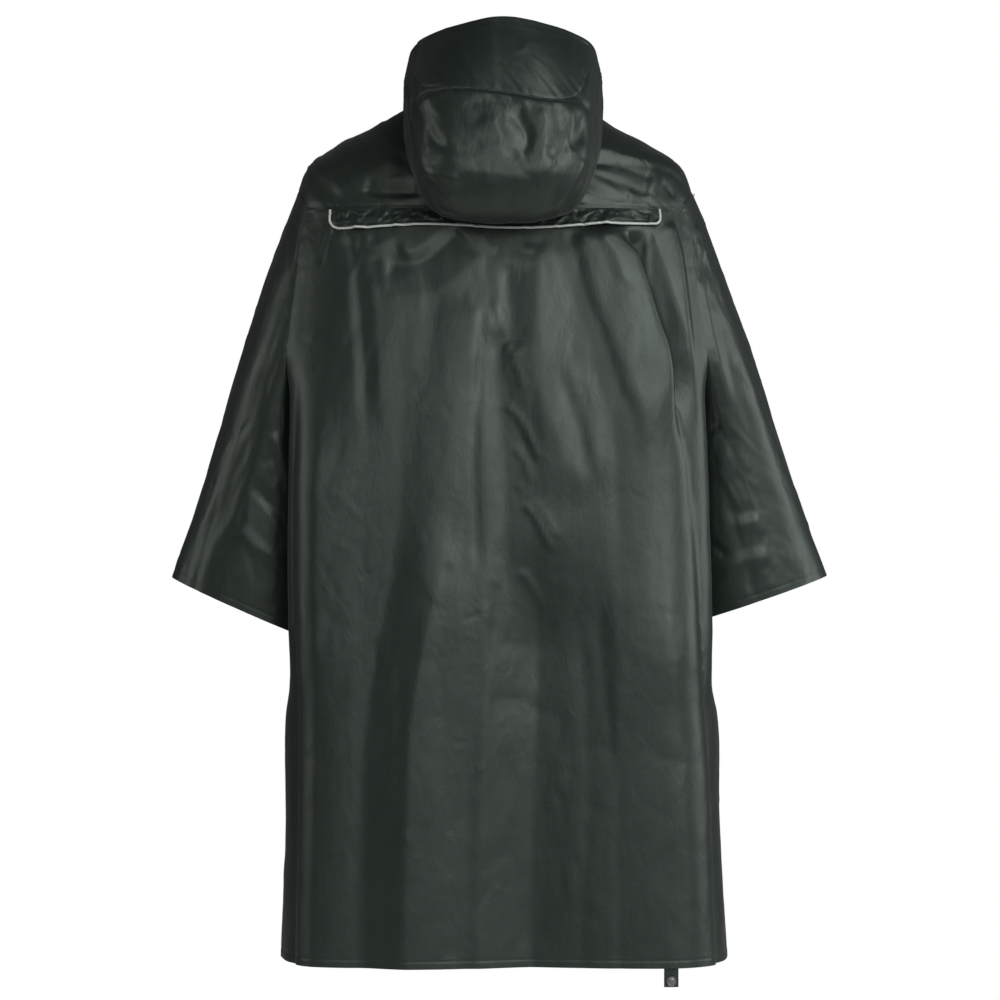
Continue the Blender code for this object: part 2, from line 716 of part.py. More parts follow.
def main():
    clear_scene()

    def green(name):
        return finish(name, (0.020, 0.032, 0.027), 0.42)

    reflective = finish("reflective piping", (0.55, 0.58, 0.55), 0.35)
    metal = finish("snap cap", (0.06, 0.065, 0.065), 0.35, 0.6)
    pieces = body_panels(green) + sleeves(green) + yoke_and_hood(green)
    pieces.append(cloth("back_flap", flap_grid(), green("back flap")))
    pieces.append(cord("back_piping", piping_path(), reflective))
    pieces.append(cord("front_piping", front_piping_path(), reflective))
    tab = hem_tab(green("hem tab"))
    pieces.append(tab)
    pieces.append(hem_snap(tab, metal))

    garment = bpy.data.collections.new("rain_poncho")
    bpy.context.scene.collection.children.link(garment)
    for piece in pieces:
        for holder in list(piece.users_collection):
            holder.objects.unlink(piece)
        garment.objects.link(piece)


main()
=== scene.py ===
# %% [markdown]
# # A rain poncho in coated nylon
# The poncho is a thin shell that keeps the shape of a wearer.  Each cut piece of cloth is one
# grid of points.  The grid is laid on the garment's plain shape, and then it is pushed in and
# out along its own normals: large folds come from tables, small ones from seeded noise.
# This way was chosen over a cloth simulation because each fold has to lie at a known place.

# %% Start
import math
from collections import namedtuple

import bmesh
import bpy
import numpy as np
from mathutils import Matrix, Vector


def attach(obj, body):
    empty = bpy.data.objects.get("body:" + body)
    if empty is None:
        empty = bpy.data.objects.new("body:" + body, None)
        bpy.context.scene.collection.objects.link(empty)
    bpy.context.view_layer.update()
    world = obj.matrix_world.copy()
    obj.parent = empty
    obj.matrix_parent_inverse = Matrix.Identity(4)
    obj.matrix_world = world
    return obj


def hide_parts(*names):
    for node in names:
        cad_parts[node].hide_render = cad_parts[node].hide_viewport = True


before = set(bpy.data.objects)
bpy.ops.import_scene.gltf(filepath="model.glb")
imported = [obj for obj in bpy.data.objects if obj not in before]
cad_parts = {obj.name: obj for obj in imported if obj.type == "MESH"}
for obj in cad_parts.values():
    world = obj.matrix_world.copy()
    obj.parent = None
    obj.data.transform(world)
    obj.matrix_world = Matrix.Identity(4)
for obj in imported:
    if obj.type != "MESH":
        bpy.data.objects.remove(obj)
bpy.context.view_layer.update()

print("solid pieces:", len(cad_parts))

# %% [markdown]
# ## Camera, floor and light
# The poncho is seen level from behind, from four metres.  The main light is a large soft box
# to the right of the view.  Satin cloth turns bright where it faces half way to a light, so one
# strong side shows the folds.  Weaker boxes at both sides, one above and one beside the view fill
# the shadows.  The last one stands before the poncho's front, so that its front can be seen too.

# %% Camera
VIEW_HEIGHT = -0.4875
VIEW_DISTANCE = 4.0
FRAME_WIDTH = 1.3  # what the view spans at the neck's depth

bpy.ops.object.camera_add(location=(0, VIEW_DISTANCE, VIEW_HEIGHT), rotation=(math.pi / 2, 0, math.pi))
camera = bpy.context.object
camera.data.sensor_width = 36
camera.data.lens = camera.data.sensor_width * VIEW_DISTANCE / FRAME_WIDTH
bpy.context.scene.camera = camera
bpy.context.scene.view_settings.view_transform = "Standard"

# %% Lights
Light = namedtuple("Light", "name place aim width height power")
LIGHTS = (
    Light("key", (-1.9, 3.4, 0.6), (0.0, 0.1, -0.35), 1.8, 1.6, 78),
    Light("side", (-3.3, 0.4, 0.1), (0.0, 0.0, -0.4), 1.8, 2.2, 54),
    Light("left", (3.4, 0.9, 0.1), (0.0, 0.0, -0.5), 1.4, 2.0, 26),
    Light("high", (-1.4, 2.8, 2.3), (0.0, 0.1, -0.05), 1.2, 0.9, 40),
    Light("fill", (0.4, 3.9, 0.3), (0.0, 0.0, -0.5), 1.5, 1.6, 28),
    Light("front", (0.0, -3.5, -0.45), (0.0, 0.0, -0.5), 1.3, 1.3, 70),
)
for light in LIGHTS:
    bpy.ops.object.light_add(type="AREA", location=light.place)
    lamp = bpy.context.object
    lamp.name = "light_" + light.name
    lamp.data.shape = "RECTANGLE"
    lamp.data.size = light.width
    lamp.data.size_y = light.height
    lamp.data.energy = light.power
    aim = Vector(light.aim) - Vector(light.place)
    lamp.rotation_euler = aim.to_track_quat("-Z", "Y").to_euler()
print("lights:", len(LIGHTS))


# %% World and floor
def set_node(node, **values):
    """Sets a node's inputs by name, and its settings where no input has that name.  An input
    takes a value or another node's output, and an underscore stands for a space."""
    for name, value in values.items():
        plug = name.replace("_", " ")
        if plug not in node.inputs:
            setattr(node, name, value)
        elif isinstance(value, bpy.types.NodeSocket):
            node.id_data.links.new(value, node.inputs[plug])
        else:
            node.inputs[plug].default_value = value


def node_of(tree, kind, *sources, **values):
    """Adds a node with its values, and links the sources to its first inputs."""
    node = tree.nodes.new(kind)
    set_node(node, **values)
    for source, plug in zip(sources, node.inputs):
        tree.links.new(source, plug)
    return node


def new_material(name):
    """A new material, its node tree and its shader."""
    material = bpy.data.materials.new(name)
    material.use_nodes = True
    return material, material.node_tree, material.node_tree.nodes["Principled BSDF"]


world = bpy.data.worlds.new("studio")
bpy.context.scene.world = world
world.use_nodes = True
air = world.node_tree
air.nodes.clear()
seen = node_of(air, "ShaderNodeLightPath").outputs["Is Camera Ray"]
room = node_of(air, "ShaderNodeBackground", Color=(0.93, 0.97, 1.0, 1), Strength=0.03).outputs[0]
paper = node_of(air, "ShaderNodeBackground", Color=(1, 1, 1, 1), Strength=1.0).outputs[0]
sky = node_of(air, "ShaderNodeMixShader", seen, room, paper).outputs[0]
node_of(air, "ShaderNodeOutputWorld", Surface=sky)

FLOOR_SIZE, FLOOR_Z = 3.2, -1.46
bpy.ops.mesh.primitive_plane_add(size=FLOOR_SIZE, location=(0, 0, FLOOR_Z))
floor = bpy.context.object
floor.name = "floor"
pale, _, pale_shader = new_material("pale floor")
set_node(pale_shader, Base_Color=(0.85, 0.85, 0.84, 1), Roughness=0.7)
floor.data.materials.append(pale)

# %% [markdown]
# ## Smooth tables and noise
# A garment's shape is a few numbers at a few heights.  Everything between them is read off
# a smooth curve through the table, for many points at once.  The noise is plain arithmetic on
# a grid of seeded random heights, so each run gives the same cloth.


# %% Tables
def along(knots, values, place):
    """The values at many places on the smooth curve through (knot, value)."""
    knots, values = np.asarray(knots, float), np.asarray(values, float)
    place = np.asarray(place, float)
    if knots[0] > knots[-1]:
        knots, place = -knots, -place
    number = np.arange(len(knots))
    before, after = np.maximum(number - 1, 0), np.minimum(number + 1, len(knots) - 1)
    slopes = (values[after] - values[before]) / (knots[after] - knots[before])
    i = np.clip(np.searchsorted(knots, place) - 1, 0, len(knots) - 2)
    span = knots[i + 1] - knots[i]
    t = np.clip((place - knots[i]) / span, 0.0, 1.0)
    rise = values[i] * (1 + 2 * t) * (1 - t) ** 2 + values[i + 1] * t * t * (3 - 2 * t)
    return rise + span * t * (1 - t) * (slopes[i] * (1 - t) - slopes[i + 1] * t)


def column(table, name, place):
    """One column of a table, read at many places of its first column."""
    return along([row[0] for row in table], [getattr(row, name) for row in table], place)


def fade(value, start, end):
    """Rises smoothly from 0 at start to 1 at end."""
    t = np.clip((value - start) / (end - start), 0.0, 1.0)
    return t * t * (3 - 2 * t)


# %% Noise
def grain(u, v, seed):
    """Smooth random heights from -1 to 1, about one bump to each unit of u and v."""
    u, v = np.broadcast_arrays(np.asarray(u, float), np.asarray(v, float))
    cell_u, cell_v = np.floor(u), np.floor(v)
    part_u, part_v = u - cell_u, v - cell_v
    part_u = part_u**3 * (part_u * (part_u * 6 - 15) + 10)
    part_v = part_v**3 * (part_v * (part_v * 6 - 15) + 10)

    def corner(a, b):
        wild = np.sin((cell_u + a) * 127.1 + (cell_v + b) * 311.7 + seed * 74.7) * 43758.5453
        return (wild - np.floor(wild)) * 2 - 1

    low = corner(0, 0) * (1 - part_u) + corner(1, 0) * part_u
    high = corner(0, 1) * (1 - part_u) + corner(1, 1) * part_u
    return low * (1 - part_v) + high * part_v


print("noise at three places:", np.round(grain([0.2, 3.7, 9.1], [0.5, 1.5, 2.5], 1), 3))

# %% [markdown]
# ## Folds
# A fold is a line on the cloth with a height and a width on each side.  The side's form says
# how it falls away: soft like a roll of bedding, sharp like a pressed crease, plane like the
# flat facet between two creases, or round like cloth that laps over.  Satin cloth needs the
# plane ones most, because its light and dark areas have straight edges.

# %% Folds
FORMS = {"soft": (2.0, 2.0), "sharp": (1.0, 2.0), "plane": (1.15, 1.1), "round": (2.6, 0.65)}
Fold = namedtuple("Fold", "path height left right forms fades")
MM = 0.001  # the fold tables are in millimetres


def smooth_path(points):
    """A path through the same points with five steps between each two."""
    knots = np.arange(len(points))
    places = np.linspace(0, knots[-1], 5 * knots[-1] + 1)
    return np.stack([along(knots, one, places) for one in np.asarray(points, float).T], axis=1)


def fold_heights(u, v, folds):
    """How far a table of folds lifts the cloth at each (u, v), in metres."""
    total = np.zeros(u.shape)
    for fold in folds:
        path = smooth_path(fold.path) * MM
        reach = max(fold.left, fold.right) * MM
        low, high = path.min(axis=0) - reach, path.max(axis=0) + reach
        near = (u > low[0]) & (u < high[0]) & (v > low[1]) & (v < high[1])
        if not near.any():
            continue
        pu, pv = u[near], v[near]
        steps = np.diff(path, axis=0)
        lengths = np.hypot(steps[:, 0], steps[:, 1])
        starts = np.concatenate([[0], np.cumsum(lengths)])
        nearest = np.full(pu.shape, np.inf)
        side, run = np.zeros(pu.shape), np.zeros(pu.shape)
        for start, step, length, begun in zip(path, steps, lengths, starts):
            du, dv = pu - start[0], pv - start[1]
            t = np.clip((du * step[0] + dv * step[1]) / length**2, 0, 1)
            away = np.hypot(du - t * step[0], dv - t * step[1])
            closer = away < nearest
            nearest = np.where(closer, away, nearest)
            side = np.where(closer, step[0] * dv - step[1] * du, side)
            run = np.where(closer, begun + t * length, run)
        shape = np.zeros(pu.shape)
        halves = zip((fold.left, fold.right), fold.forms.split(), (side >= 0, side < 0))
        for width, form, chosen in halves:
            power, end = FORMS[form]
            t = np.clip(nearest / (width * MM), 0, 1)
            shape = np.where(chosen, (1 - t**power) ** end, shape)
        ends = fade(run, 0, fold.fades[0] * MM + 1e-6)
        if fold.fades[1]:
            ends = ends * fade(starts[-1] - run, 0, fold.fades[1] * MM)
        total[near] += fold.height * MM * shape * ends
    return total


# %% Small creases
def creases(u, v, seed, count, length, width, height, lean=0.35):
    """Many short random creases over the whole piece; lean is how far they turn from upright."""
    dice = np.random.default_rng(seed)
    total = np.zeros(u.shape)
    low_u, high_u, low_v, high_v = u.min(), u.max(), v.min(), v.max()
    for _ in range(count):
        middle_u, middle_v = dice.uniform(low_u, high_u), dice.uniform(low_v, high_v)
        turn = dice.normal(0, lean)
        half = length * dice.uniform(0.4, 1.3) / 2
        wide = width * dice.uniform(0.6, 1.4)
        tall = height * dice.uniform(0.3, 1.0) * dice.choice((-1, 1))
        bend = dice.uniform(-0.25, 0.25) / half
        du, dv = u - middle_u, v - middle_v
        near = (np.abs(du) < half + wide) & (np.abs(dv) < half + wide)
        if not near.any():
            continue
        across = du[near] * math.cos(turn) + dv[near] * math.sin(turn)
        down = dv[near] * math.cos(turn) - du[near] * math.sin(turn)
        across = across - bend * down**2
        ends = np.clip(1 - (down / half) ** 2, 0, 1)
        beside = np.where(across > 0, across / wide, -across / (wide * 0.45))
        total[near] += tall * ends * np.clip(1 - beside, 0, 1) ** 1.5
    return total


def facets(u, v, seed, height, wide, tall):
    """Shallow flat-sided hills that meet in sharp creases, as where stiff cloth was crushed."""
    drift = grain(u / (2 * wide), v / (2 * tall), seed + 7)
    first = np.abs(grain(u / wide + 0.5 * drift, v / tall - 0.4 * drift, seed))
    second = np.abs(grain((u + 0.35 * v) / (0.55 * wide), (v - 0.2 * u) / (0.6 * tall), seed + 1))
    return height * (first + 0.5 * second - 0.55)


def streaks(u, v, seed, height):
    """Shallow upright waves, as in cloth that hangs from a seam."""
    drift = grain(u / 0.15, v / 0.30, seed + 5) * 0.02
    wide = grain((u + drift) / 0.040, v / 0.30, seed)
    fine = grain((u + drift) / 0.014, v / 0.14, seed + 1)
    return height * (wide + 0.2 * fine)


def puckers(edge_run, edge_far, seed, height, size=0.010, reach=0.014, rise=0.003):
    """Small gathers that rise from a seam and die away from it."""
    wave = grain(edge_run / size, edge_far / 0.05, seed)
    strength = 0.35 + 0.65 * np.abs(grain(edge_run / 0.05, 0.5, seed + 3))
    gathers = height * strength * (1 - 2 * np.abs(wave)) * np.exp(-np.maximum(edge_far, 0) / reach)
    return gathers * fade(edge_far, 0.0, rise)


HEM_STITCH, SEAM_STITCH, BRIM_STITCH = 0.0095, 0.0035, 0.0080  # from an edge to its stitches


def groove(edge_far, place, depth, width):
    """The shallow channel that a row of stitches pulls in."""
    return depth * np.exp(-(((edge_far - place) / width) ** 2))


# %% [markdown]
# ## From points to cloth
# A grid primitive is added with the right number of faces, its points are moved to their
# places, and Solidify gives it the thickness of the coated cloth, inwards.  The grid's UV map is
# set in metres of cloth, so that the weave has one size on every piece.


# %% Cloth maker
def normals_of(points):
    """The unit normal at each point of a grid."""
    across, down = np.gradient(points, axis=1), np.gradient(points, axis=0)
    normal = np.cross(across, down)
    return normal / np.maximum(np.linalg.norm(normal, axis=2, keepdims=True), 1e-12)


def outwards(points, ring=False):
    """Normals that point away from the garment when rows run downwards and columns from right
    to left as seen from behind.  A ring's two ends share theirs."""
    normal = normals_of(points)
    if ring:
        joined = normal[:, 0] + normal[:, -1]
        joined /= np.linalg.norm(joined, axis=1, keepdims=True)
        normal[:, 0] = normal[:, -1] = joined
    return normal


def run_along(path):
    """Distances run along a path from its first point."""
    return np.concatenate([[0], np.cumsum(np.linalg.norm(np.diff(path, axis=0), axis=1))])


def cloth_lengths(points):
    """Distances run along the rows and down the columns of a grid, from its first corner."""
    right = np.linalg.norm(np.diff(points, axis=1), axis=2)
    down = np.linalg.norm(np.diff(points, axis=0), axis=2)
    run = np.concatenate([np.zeros((len(points), 1)), np.cumsum(right, axis=1)], axis=1)
    drop = np.concatenate([np.zeros((1, points.shape[1])), np.cumsum(down, axis=0)], axis=0)
    return run, drop


def from_sides(run):
    """Each point's distance from the nearer side of its grid."""
    return np.minimum(run, run[:, -1:] - run)


def ring_ends(run):
    """0 where a ring's two ends meet and 1 over the rest of it."""
    return fade(run, 0, 0.03) * fade(run[:, -1:] - run, 0, 0.03)


WALL = 0.0008
cut = {}


def cloth(name, points, material, ring=False, flip=False, down=None):
    """A piece of cloth through a grid of points (rows, columns, 3).  down replaces the UV map's
    second number where columns drift sideways, as at an armhole."""
    rows, columns = points.shape[0] - 1, points.shape[1] - 1
    bpy.ops.mesh.primitive_grid_add(x_subdivisions=columns, y_subdivisions=rows, size=1)
    piece = bpy.context.object
    piece.name = piece.data.name = name
    mesh = piece.data
    mesh.vertices.foreach_set("co", points.ravel())  # the primitive's points run row by row
    run, drop = cloth_lengths(points)
    uv = np.stack([run - run[:, -1:] / 2, drop if down is None else down], axis=2).reshape(-1, 2)
    corners = np.empty(len(mesh.loops), int)
    mesh.loops.foreach_get("vertex_index", corners)
    mesh.uv_layers[0].data.foreach_set("uv", uv[corners].ravel())
    mesh.update()
    bpy.ops.object.mode_set(mode="EDIT")
    bpy.ops.mesh.select_all(action="SELECT")
    if ring:
        bpy.ops.mesh.remove_doubles(threshold=0.00005)
    if flip:
        bpy.ops.mesh.flip_normals()
    bpy.ops.object.mode_set(mode="OBJECT")
    solid = piece.modifiers.new("Wall", "SOLIDIFY")
    solid.thickness = WALL
    solid.offset = -1.0
    bpy.ops.object.modifier_apply(modifier=solid.name)
    bpy.ops.object.shade_smooth_by_angle(angle=math.radians(70))
    mesh.materials.append(material)
    side = np.cross(np.diff(points[:-1], axis=1), np.diff(points[:, :-1], axis=0))
    area = float(np.linalg.norm(side, axis=2).sum())
    width, length = float(run[:, -1].max()), float(drop[-1].max())
    cut[name] = (width, length, area)
    print(f"{name}: {len(mesh.polygons)} faces, cut {width:.3f} by {length:.3f} m, {area:.3f} m2")


def steps_down(top, foot, step, fine_top=0.0, fine_foot=0.0):
    """Row places from top to foot, closer together near the sewn and hemmed edges."""
    down = [np.arange(0, fine_top, step / 3)] if fine_top else []
    body = abs(top - foot) - fine_top - fine_foot
    count = max(2, round(body / step))
    down.append(fine_top + body * np.arange(count + (0 if fine_foot else 1)) / count)
    if fine_foot:
        number = max(3, round(fine_foot * 3 / step) + 1)
        down.append(abs(top - foot) - fine_foot + np.linspace(0, fine_foot, number))
    return top + np.sign(foot - top) * np.concatenate(down)


# %% [markdown]
# ## The shape of the body
# The body is a boxy oval at each height, with a hollow at each side where the sleeve hangs.
# An angle runs round it: 0 is the middle of the back and a quarter turn is the wearer's left.
# The numbers are the solid's own, so the plain shape lies where the solid is, before any fold.

# %% Body tables
YOKE_Z, NOTCH_Z, UNDERARM_Z = -0.118, -0.295, -0.380
HEM_Z, CUFF_Z = -1.072, -0.603
RECESS_REACH = 0.115
ARMHOLE_CURVE = 1.5
QUARTER = math.pi / 2
PANEL_COLUMNS, OUTER_COLUMNS, UNDER_COLUMNS = 176, 60, 96
CORNER_ABOVE, CORNER_BELOW = math.radians(40), math.radians(52)  # where the flat of a panel ends

Section = namedtuple("Section", "z width back front boxiness recess")
BODY = (
    Section(-0.118, 0.269, 0.118, 0.120, 2.8, 0.000),
    Section(-0.180, 0.281, 0.130, 0.131, 3.0, 0.000),
    Section(-0.295, 0.296, 0.143, 0.140, 3.2, 0.000),
    Section(-0.340, 0.296, 0.145, 0.142, 3.2, 0.064),
    Section(-0.380, 0.296, 0.147, 0.144, 3.2, 0.074),
    Section(-0.500, 0.297, 0.150, 0.147, 3.3, 0.077),
    Section(-0.640, 0.297, 0.152, 0.149, 3.3, 0.070),
    Section(-0.700, 0.288, 0.154, 0.150, 3.4, 0.036),
    Section(-0.760, 0.278, 0.156, 0.151, 3.5, 0.000),
    Section(-0.900, 0.280, 0.160, 0.153, 3.7, 0.000),
    Section(-1.072, 0.287, 0.165, 0.157, 3.9, 0.000),
)
Station = namedtuple("Station", "z seam_x seam_y ridge_x lift inner_x")
SLEEVE = (
    Station(-0.118, 0.239, 0.075, 0.256, 0.028, 0.203),
    Station(-0.150, 0.249, 0.082, 0.270, 0.025, 0.203),
    Station(-0.200, 0.253, 0.088, 0.2895, 0.022, 0.200),
    Station(-0.295, 0.266, 0.095, 0.3235, 0.021, 0.200),
    Station(-0.362, 0.280, 0.084, 0.3440, 0.023, 0.230),
    Station(-0.424, 0.300, 0.074, 0.3625, 0.023, 0.237),
    Station(-0.514, 0.340, 0.062, 0.3930, 0.020, 0.241),
    Station(-0.603, 0.374, 0.052, 0.4255, 0.0177, 0.245),
)


# %% Body points
def lean(z):
    """The garment hangs a little to the wearer's left at the top."""
    return 0.0077 + 0.0124 * z


def oval(angle, width, depth, boxiness):
    """Points of an oval; boxiness 2 is an ellipse and more is nearer to a rectangle."""
    across, deep = np.sin(angle), np.cos(angle)
    reach = (np.abs(across) ** boxiness + np.abs(deep) ** boxiness) ** (-1 / boxiness)
    return width * across * reach, depth * deep * reach


def body_points(z, angle):
    """Points of the plain body, for heights and angles that broadcast together."""
    z = np.asarray(z, float)
    behind = np.cos(angle) >= 0
    depth = np.where(behind, column(BODY, "back", z), column(BODY, "front", z))
    width = column(BODY, "width", z)
    x, y = oval(angle, width, depth, column(BODY, "boxiness", z))
    nearness = np.maximum(0.0, 1 - (y / RECESS_REACH) ** 2)
    x = x - np.sign(x) * column(BODY, "recess", z) * nearness**2
    return np.stack(np.broadcast_arrays(x + lean(z), y, z), axis=-1)


def angle_where(z, wanted, axis):
    """The back half's angle at each height where the oval's width (0) or depth (1) is wanted."""
    width, depth = column(BODY, "width", z), column(BODY, "back", z)
    boxiness = column(BODY, "boxiness", z)
    low, high = np.zeros(np.shape(z)), np.full(np.shape(z), QUARTER)
    for _ in range(40):
        middle = (low + high) / 2
        found = oval(middle, width, depth, boxiness)[axis]
        short = found < wanted if axis == 0 else found > wanted
        low, high = np.where(short, middle, low), np.where(short, high, middle)
    return low


def seam_on_body(z):
    """The angle and the depth at which the sleeve's back seam runs down the body."""
    angle = angle_where(z, column(SLEEVE, "seam_x", z), 0)
    return angle, body_points(z, angle)[..., 1]


NOTCH_DEPTH = float(seam_on_body([NOTCH_Z])[1][0])


def edge_angle(z):
    """Where a body panel ends at each height: sleeve seam, then armhole, then side seam."""
    drop = np.clip((NOTCH_Z - z) / (NOTCH_Z - UNDERARM_Z), 0, 1)
    share = 1 - (1 - drop) ** (1 / ARMHOLE_CURVE)
    armhole = angle_where(z, NOTCH_DEPTH * (1 - share**2), 1)
    return np.where(z >= NOTCH_Z, seam_on_body(z)[0], np.where(z > UNDERARM_Z, armhole, QUARTER))


def even_angles(z, start, end, count, middle):
    """Angles that cut a stretch of the body's oval into equal lengths."""
    angle = np.linspace(start, end, 301)
    run = run_along(body_points(z, middle + angle))
    return np.interp(np.linspace(0, run[-1], count + 1), run, angle)


def panel_points(z, columns, middle):
    """The grid of a body panel.  Each row is a flat and the two stretches round to its edges,
    so that columns on the flat stay in line when the edge below the arm moves outwards."""
    grid = np.empty((len(z), columns + 1, 3))
    round_it = columns // 6
    corners = CORNER_ABOVE + (CORNER_BELOW - CORNER_ABOVE) * fade(-z, -YOKE_Z, -UNDERARM_Z)
    for r, (corner, edge) in enumerate(zip(corners, edge_angle(z))):
        before = even_angles(z[r], -edge, -corner, round_it, middle)
        flat = even_angles(z[r], -corner, corner, columns - 2 * round_it, middle)
        after = even_angles(z[r], corner, edge, round_it, middle)
        grid[r] = body_points(z[r], middle + np.concatenate([before, flat[1:], after[1:]]))
    return grid


edge_ends = edge_angle(np.array([YOKE_Z, NOTCH_Z, UNDERARM_Z, HEM_Z]))
print("panel edge angles, degrees:", np.round(np.degrees(edge_ends), 1))

# %% [markdown]
# ## Finishes
# The shell is nylon taffeta with a coating on its inside: dark green, smooth, with a satin
# shine that breaks up on small crinkles.  The crinkles are a bump of stretched noise and of
# crease lines, too small to be worth points of their own.  The weave is two crossed waves
# along the cloth's UV map, because threads follow the cloth.


# %% Nylon
ROUGHNESS = 0.43


def two_tones(tree, share, colour, darker, lighter):
    """A colour that wanders between a darker and a lighter one."""
    ends = [(*(min(c * k, 1) for c in colour), 1) for k in (darker, lighter)]
    mix = node_of(tree, "ShaderNodeMix", data_type="RGBA", Factor=share, A=ends[0], B=ends[1])
    return mix.outputs["Result"]


def nylon(name, colour, crinkle):
    """Coated nylon taffeta; crinkle is the strength of its crinkles."""
    material, tree, shader = new_material(name)
    flat = node_of(tree, "ShaderNodeTexCoord").outputs["UV"]
    stretched = node_of(tree, "ShaderNodeMapping", Vector=flat, Scale=(1.0, 0.55, 1.0)).outputs[0]

    def noise(scale, detail, **more):
        made = node_of(tree, "ShaderNodeTexNoise", Vector=stretched, Scale=scale, Detail=detail, **more)
        return made.outputs["Fac"]

    def span(value, **ends):
        return node_of(tree, "ShaderNodeMapRange", Value=value, **ends).outputs["Result"]

    def product(first, second):
        return node_of(tree, "ShaderNodeMath", first, second, operation="MULTIPLY").outputs[0]

    tint = two_tones(tree, noise(9.0, 3.0), colour, 0.88, 1.12)
    shine = span(noise(45.0, 4.0), To_Min=ROUGHNESS - 0.05, To_Max=ROUGHNESS + 0.06)
    set_node(shader, Base_Color=tint, Roughness=shine, Sheen_Weight=0.08, Sheen_Roughness=0.4)
    set_node(shader, Specular_IOR_Level=0.5, Specular_Tint=(0.87, 1.0, 0.91, 1))

    crush = noise(42.0, 5.0, Roughness=0.55, Distortion=0.5)
    lines = noise(17.0, 5.0, noise_type="RIDGED_MULTIFRACTAL", Roughness=0.6, Distortion=0.4)
    where = span(noise(7.0, 2.0), From_Min=0.38, From_Max=0.60)
    ridge = product(span(lines, From_Min=0.45, From_Max=0.95), where)
    threads, picks = (
        node_of(tree, "ShaderNodeTexWave", Vector=flat, Scale=620.0, bands_direction=way).outputs["Fac"]
        for way in "XY"
    )
    for height, strength, distance in (
        (crush, 0.35 * crinkle, 0.0026),
        (ridge, 0.60 * crinkle, 0.0030),
        (product(threads, picks), 0.10, 0.0001),
    ):
        bump = node_of(tree, "ShaderNodeBump", Height=height, Strength=strength, Distance=distance)
        for link in shader.inputs["Normal"].links:  # the bump before this one
            set_node(bump, Normal=link.from_socket)
        set_node(shader, Normal=bump.outputs[0])
    return material


GREEN = (0.0085, 0.0125, 0.0103)
shell = nylon("shell nylon", GREEN, 1.0)
smooth_shell = nylon("smooth nylon", GREEN, 0.6)
crumpled_shell = nylon("crumpled nylon", GREEN, 1.5)


# %% Piping, thread and snap
def plain(name, colour, roughness, scale, metallic=0.0, bump=0.0002):
    """A small finish with a fine grain."""
    material, tree, shader = new_material(name)
    place = node_of(tree, "ShaderNodeTexCoord").outputs["Object"]
    tone = node_of(tree, "ShaderNodeTexNoise", Vector=place, Scale=scale, Detail=3.0).outputs["Fac"]
    rough = node_of(tree, "ShaderNodeBump", Height=tone, Strength=0.4, Distance=bump).outputs[0]
    tint = two_tones(tree, tone, colour, 0.82, 1.15)
    set_node(shader, Base_Color=tint, Metallic=metallic, Roughness=roughness, Normal=rough)
    return material


reflective = plain("reflective piping", (0.42, 0.45, 0.42), 0.35, 1500.0)
thread = plain("sewing thread", (0.018, 0.026, 0.022), 0.55, 2500.0, bump=0.0001)
cap_metal = plain("snap cap", (0.13, 0.135, 0.125), 0.36, 400.0, metallic=0.4)
print("finishes:", [m.name for m in bpy.data.materials if m.use_nodes])

# %% [markdown]
# ## Back panel
# The back hangs from the yoke seam.  Its folds, in order: the cloth laps over a deep valley
# beside the right sleeve; a swag hangs from each end of the flap; a knot of creases meets
# below the flap; and a long valley runs down the middle to the hem between two soft rolls.

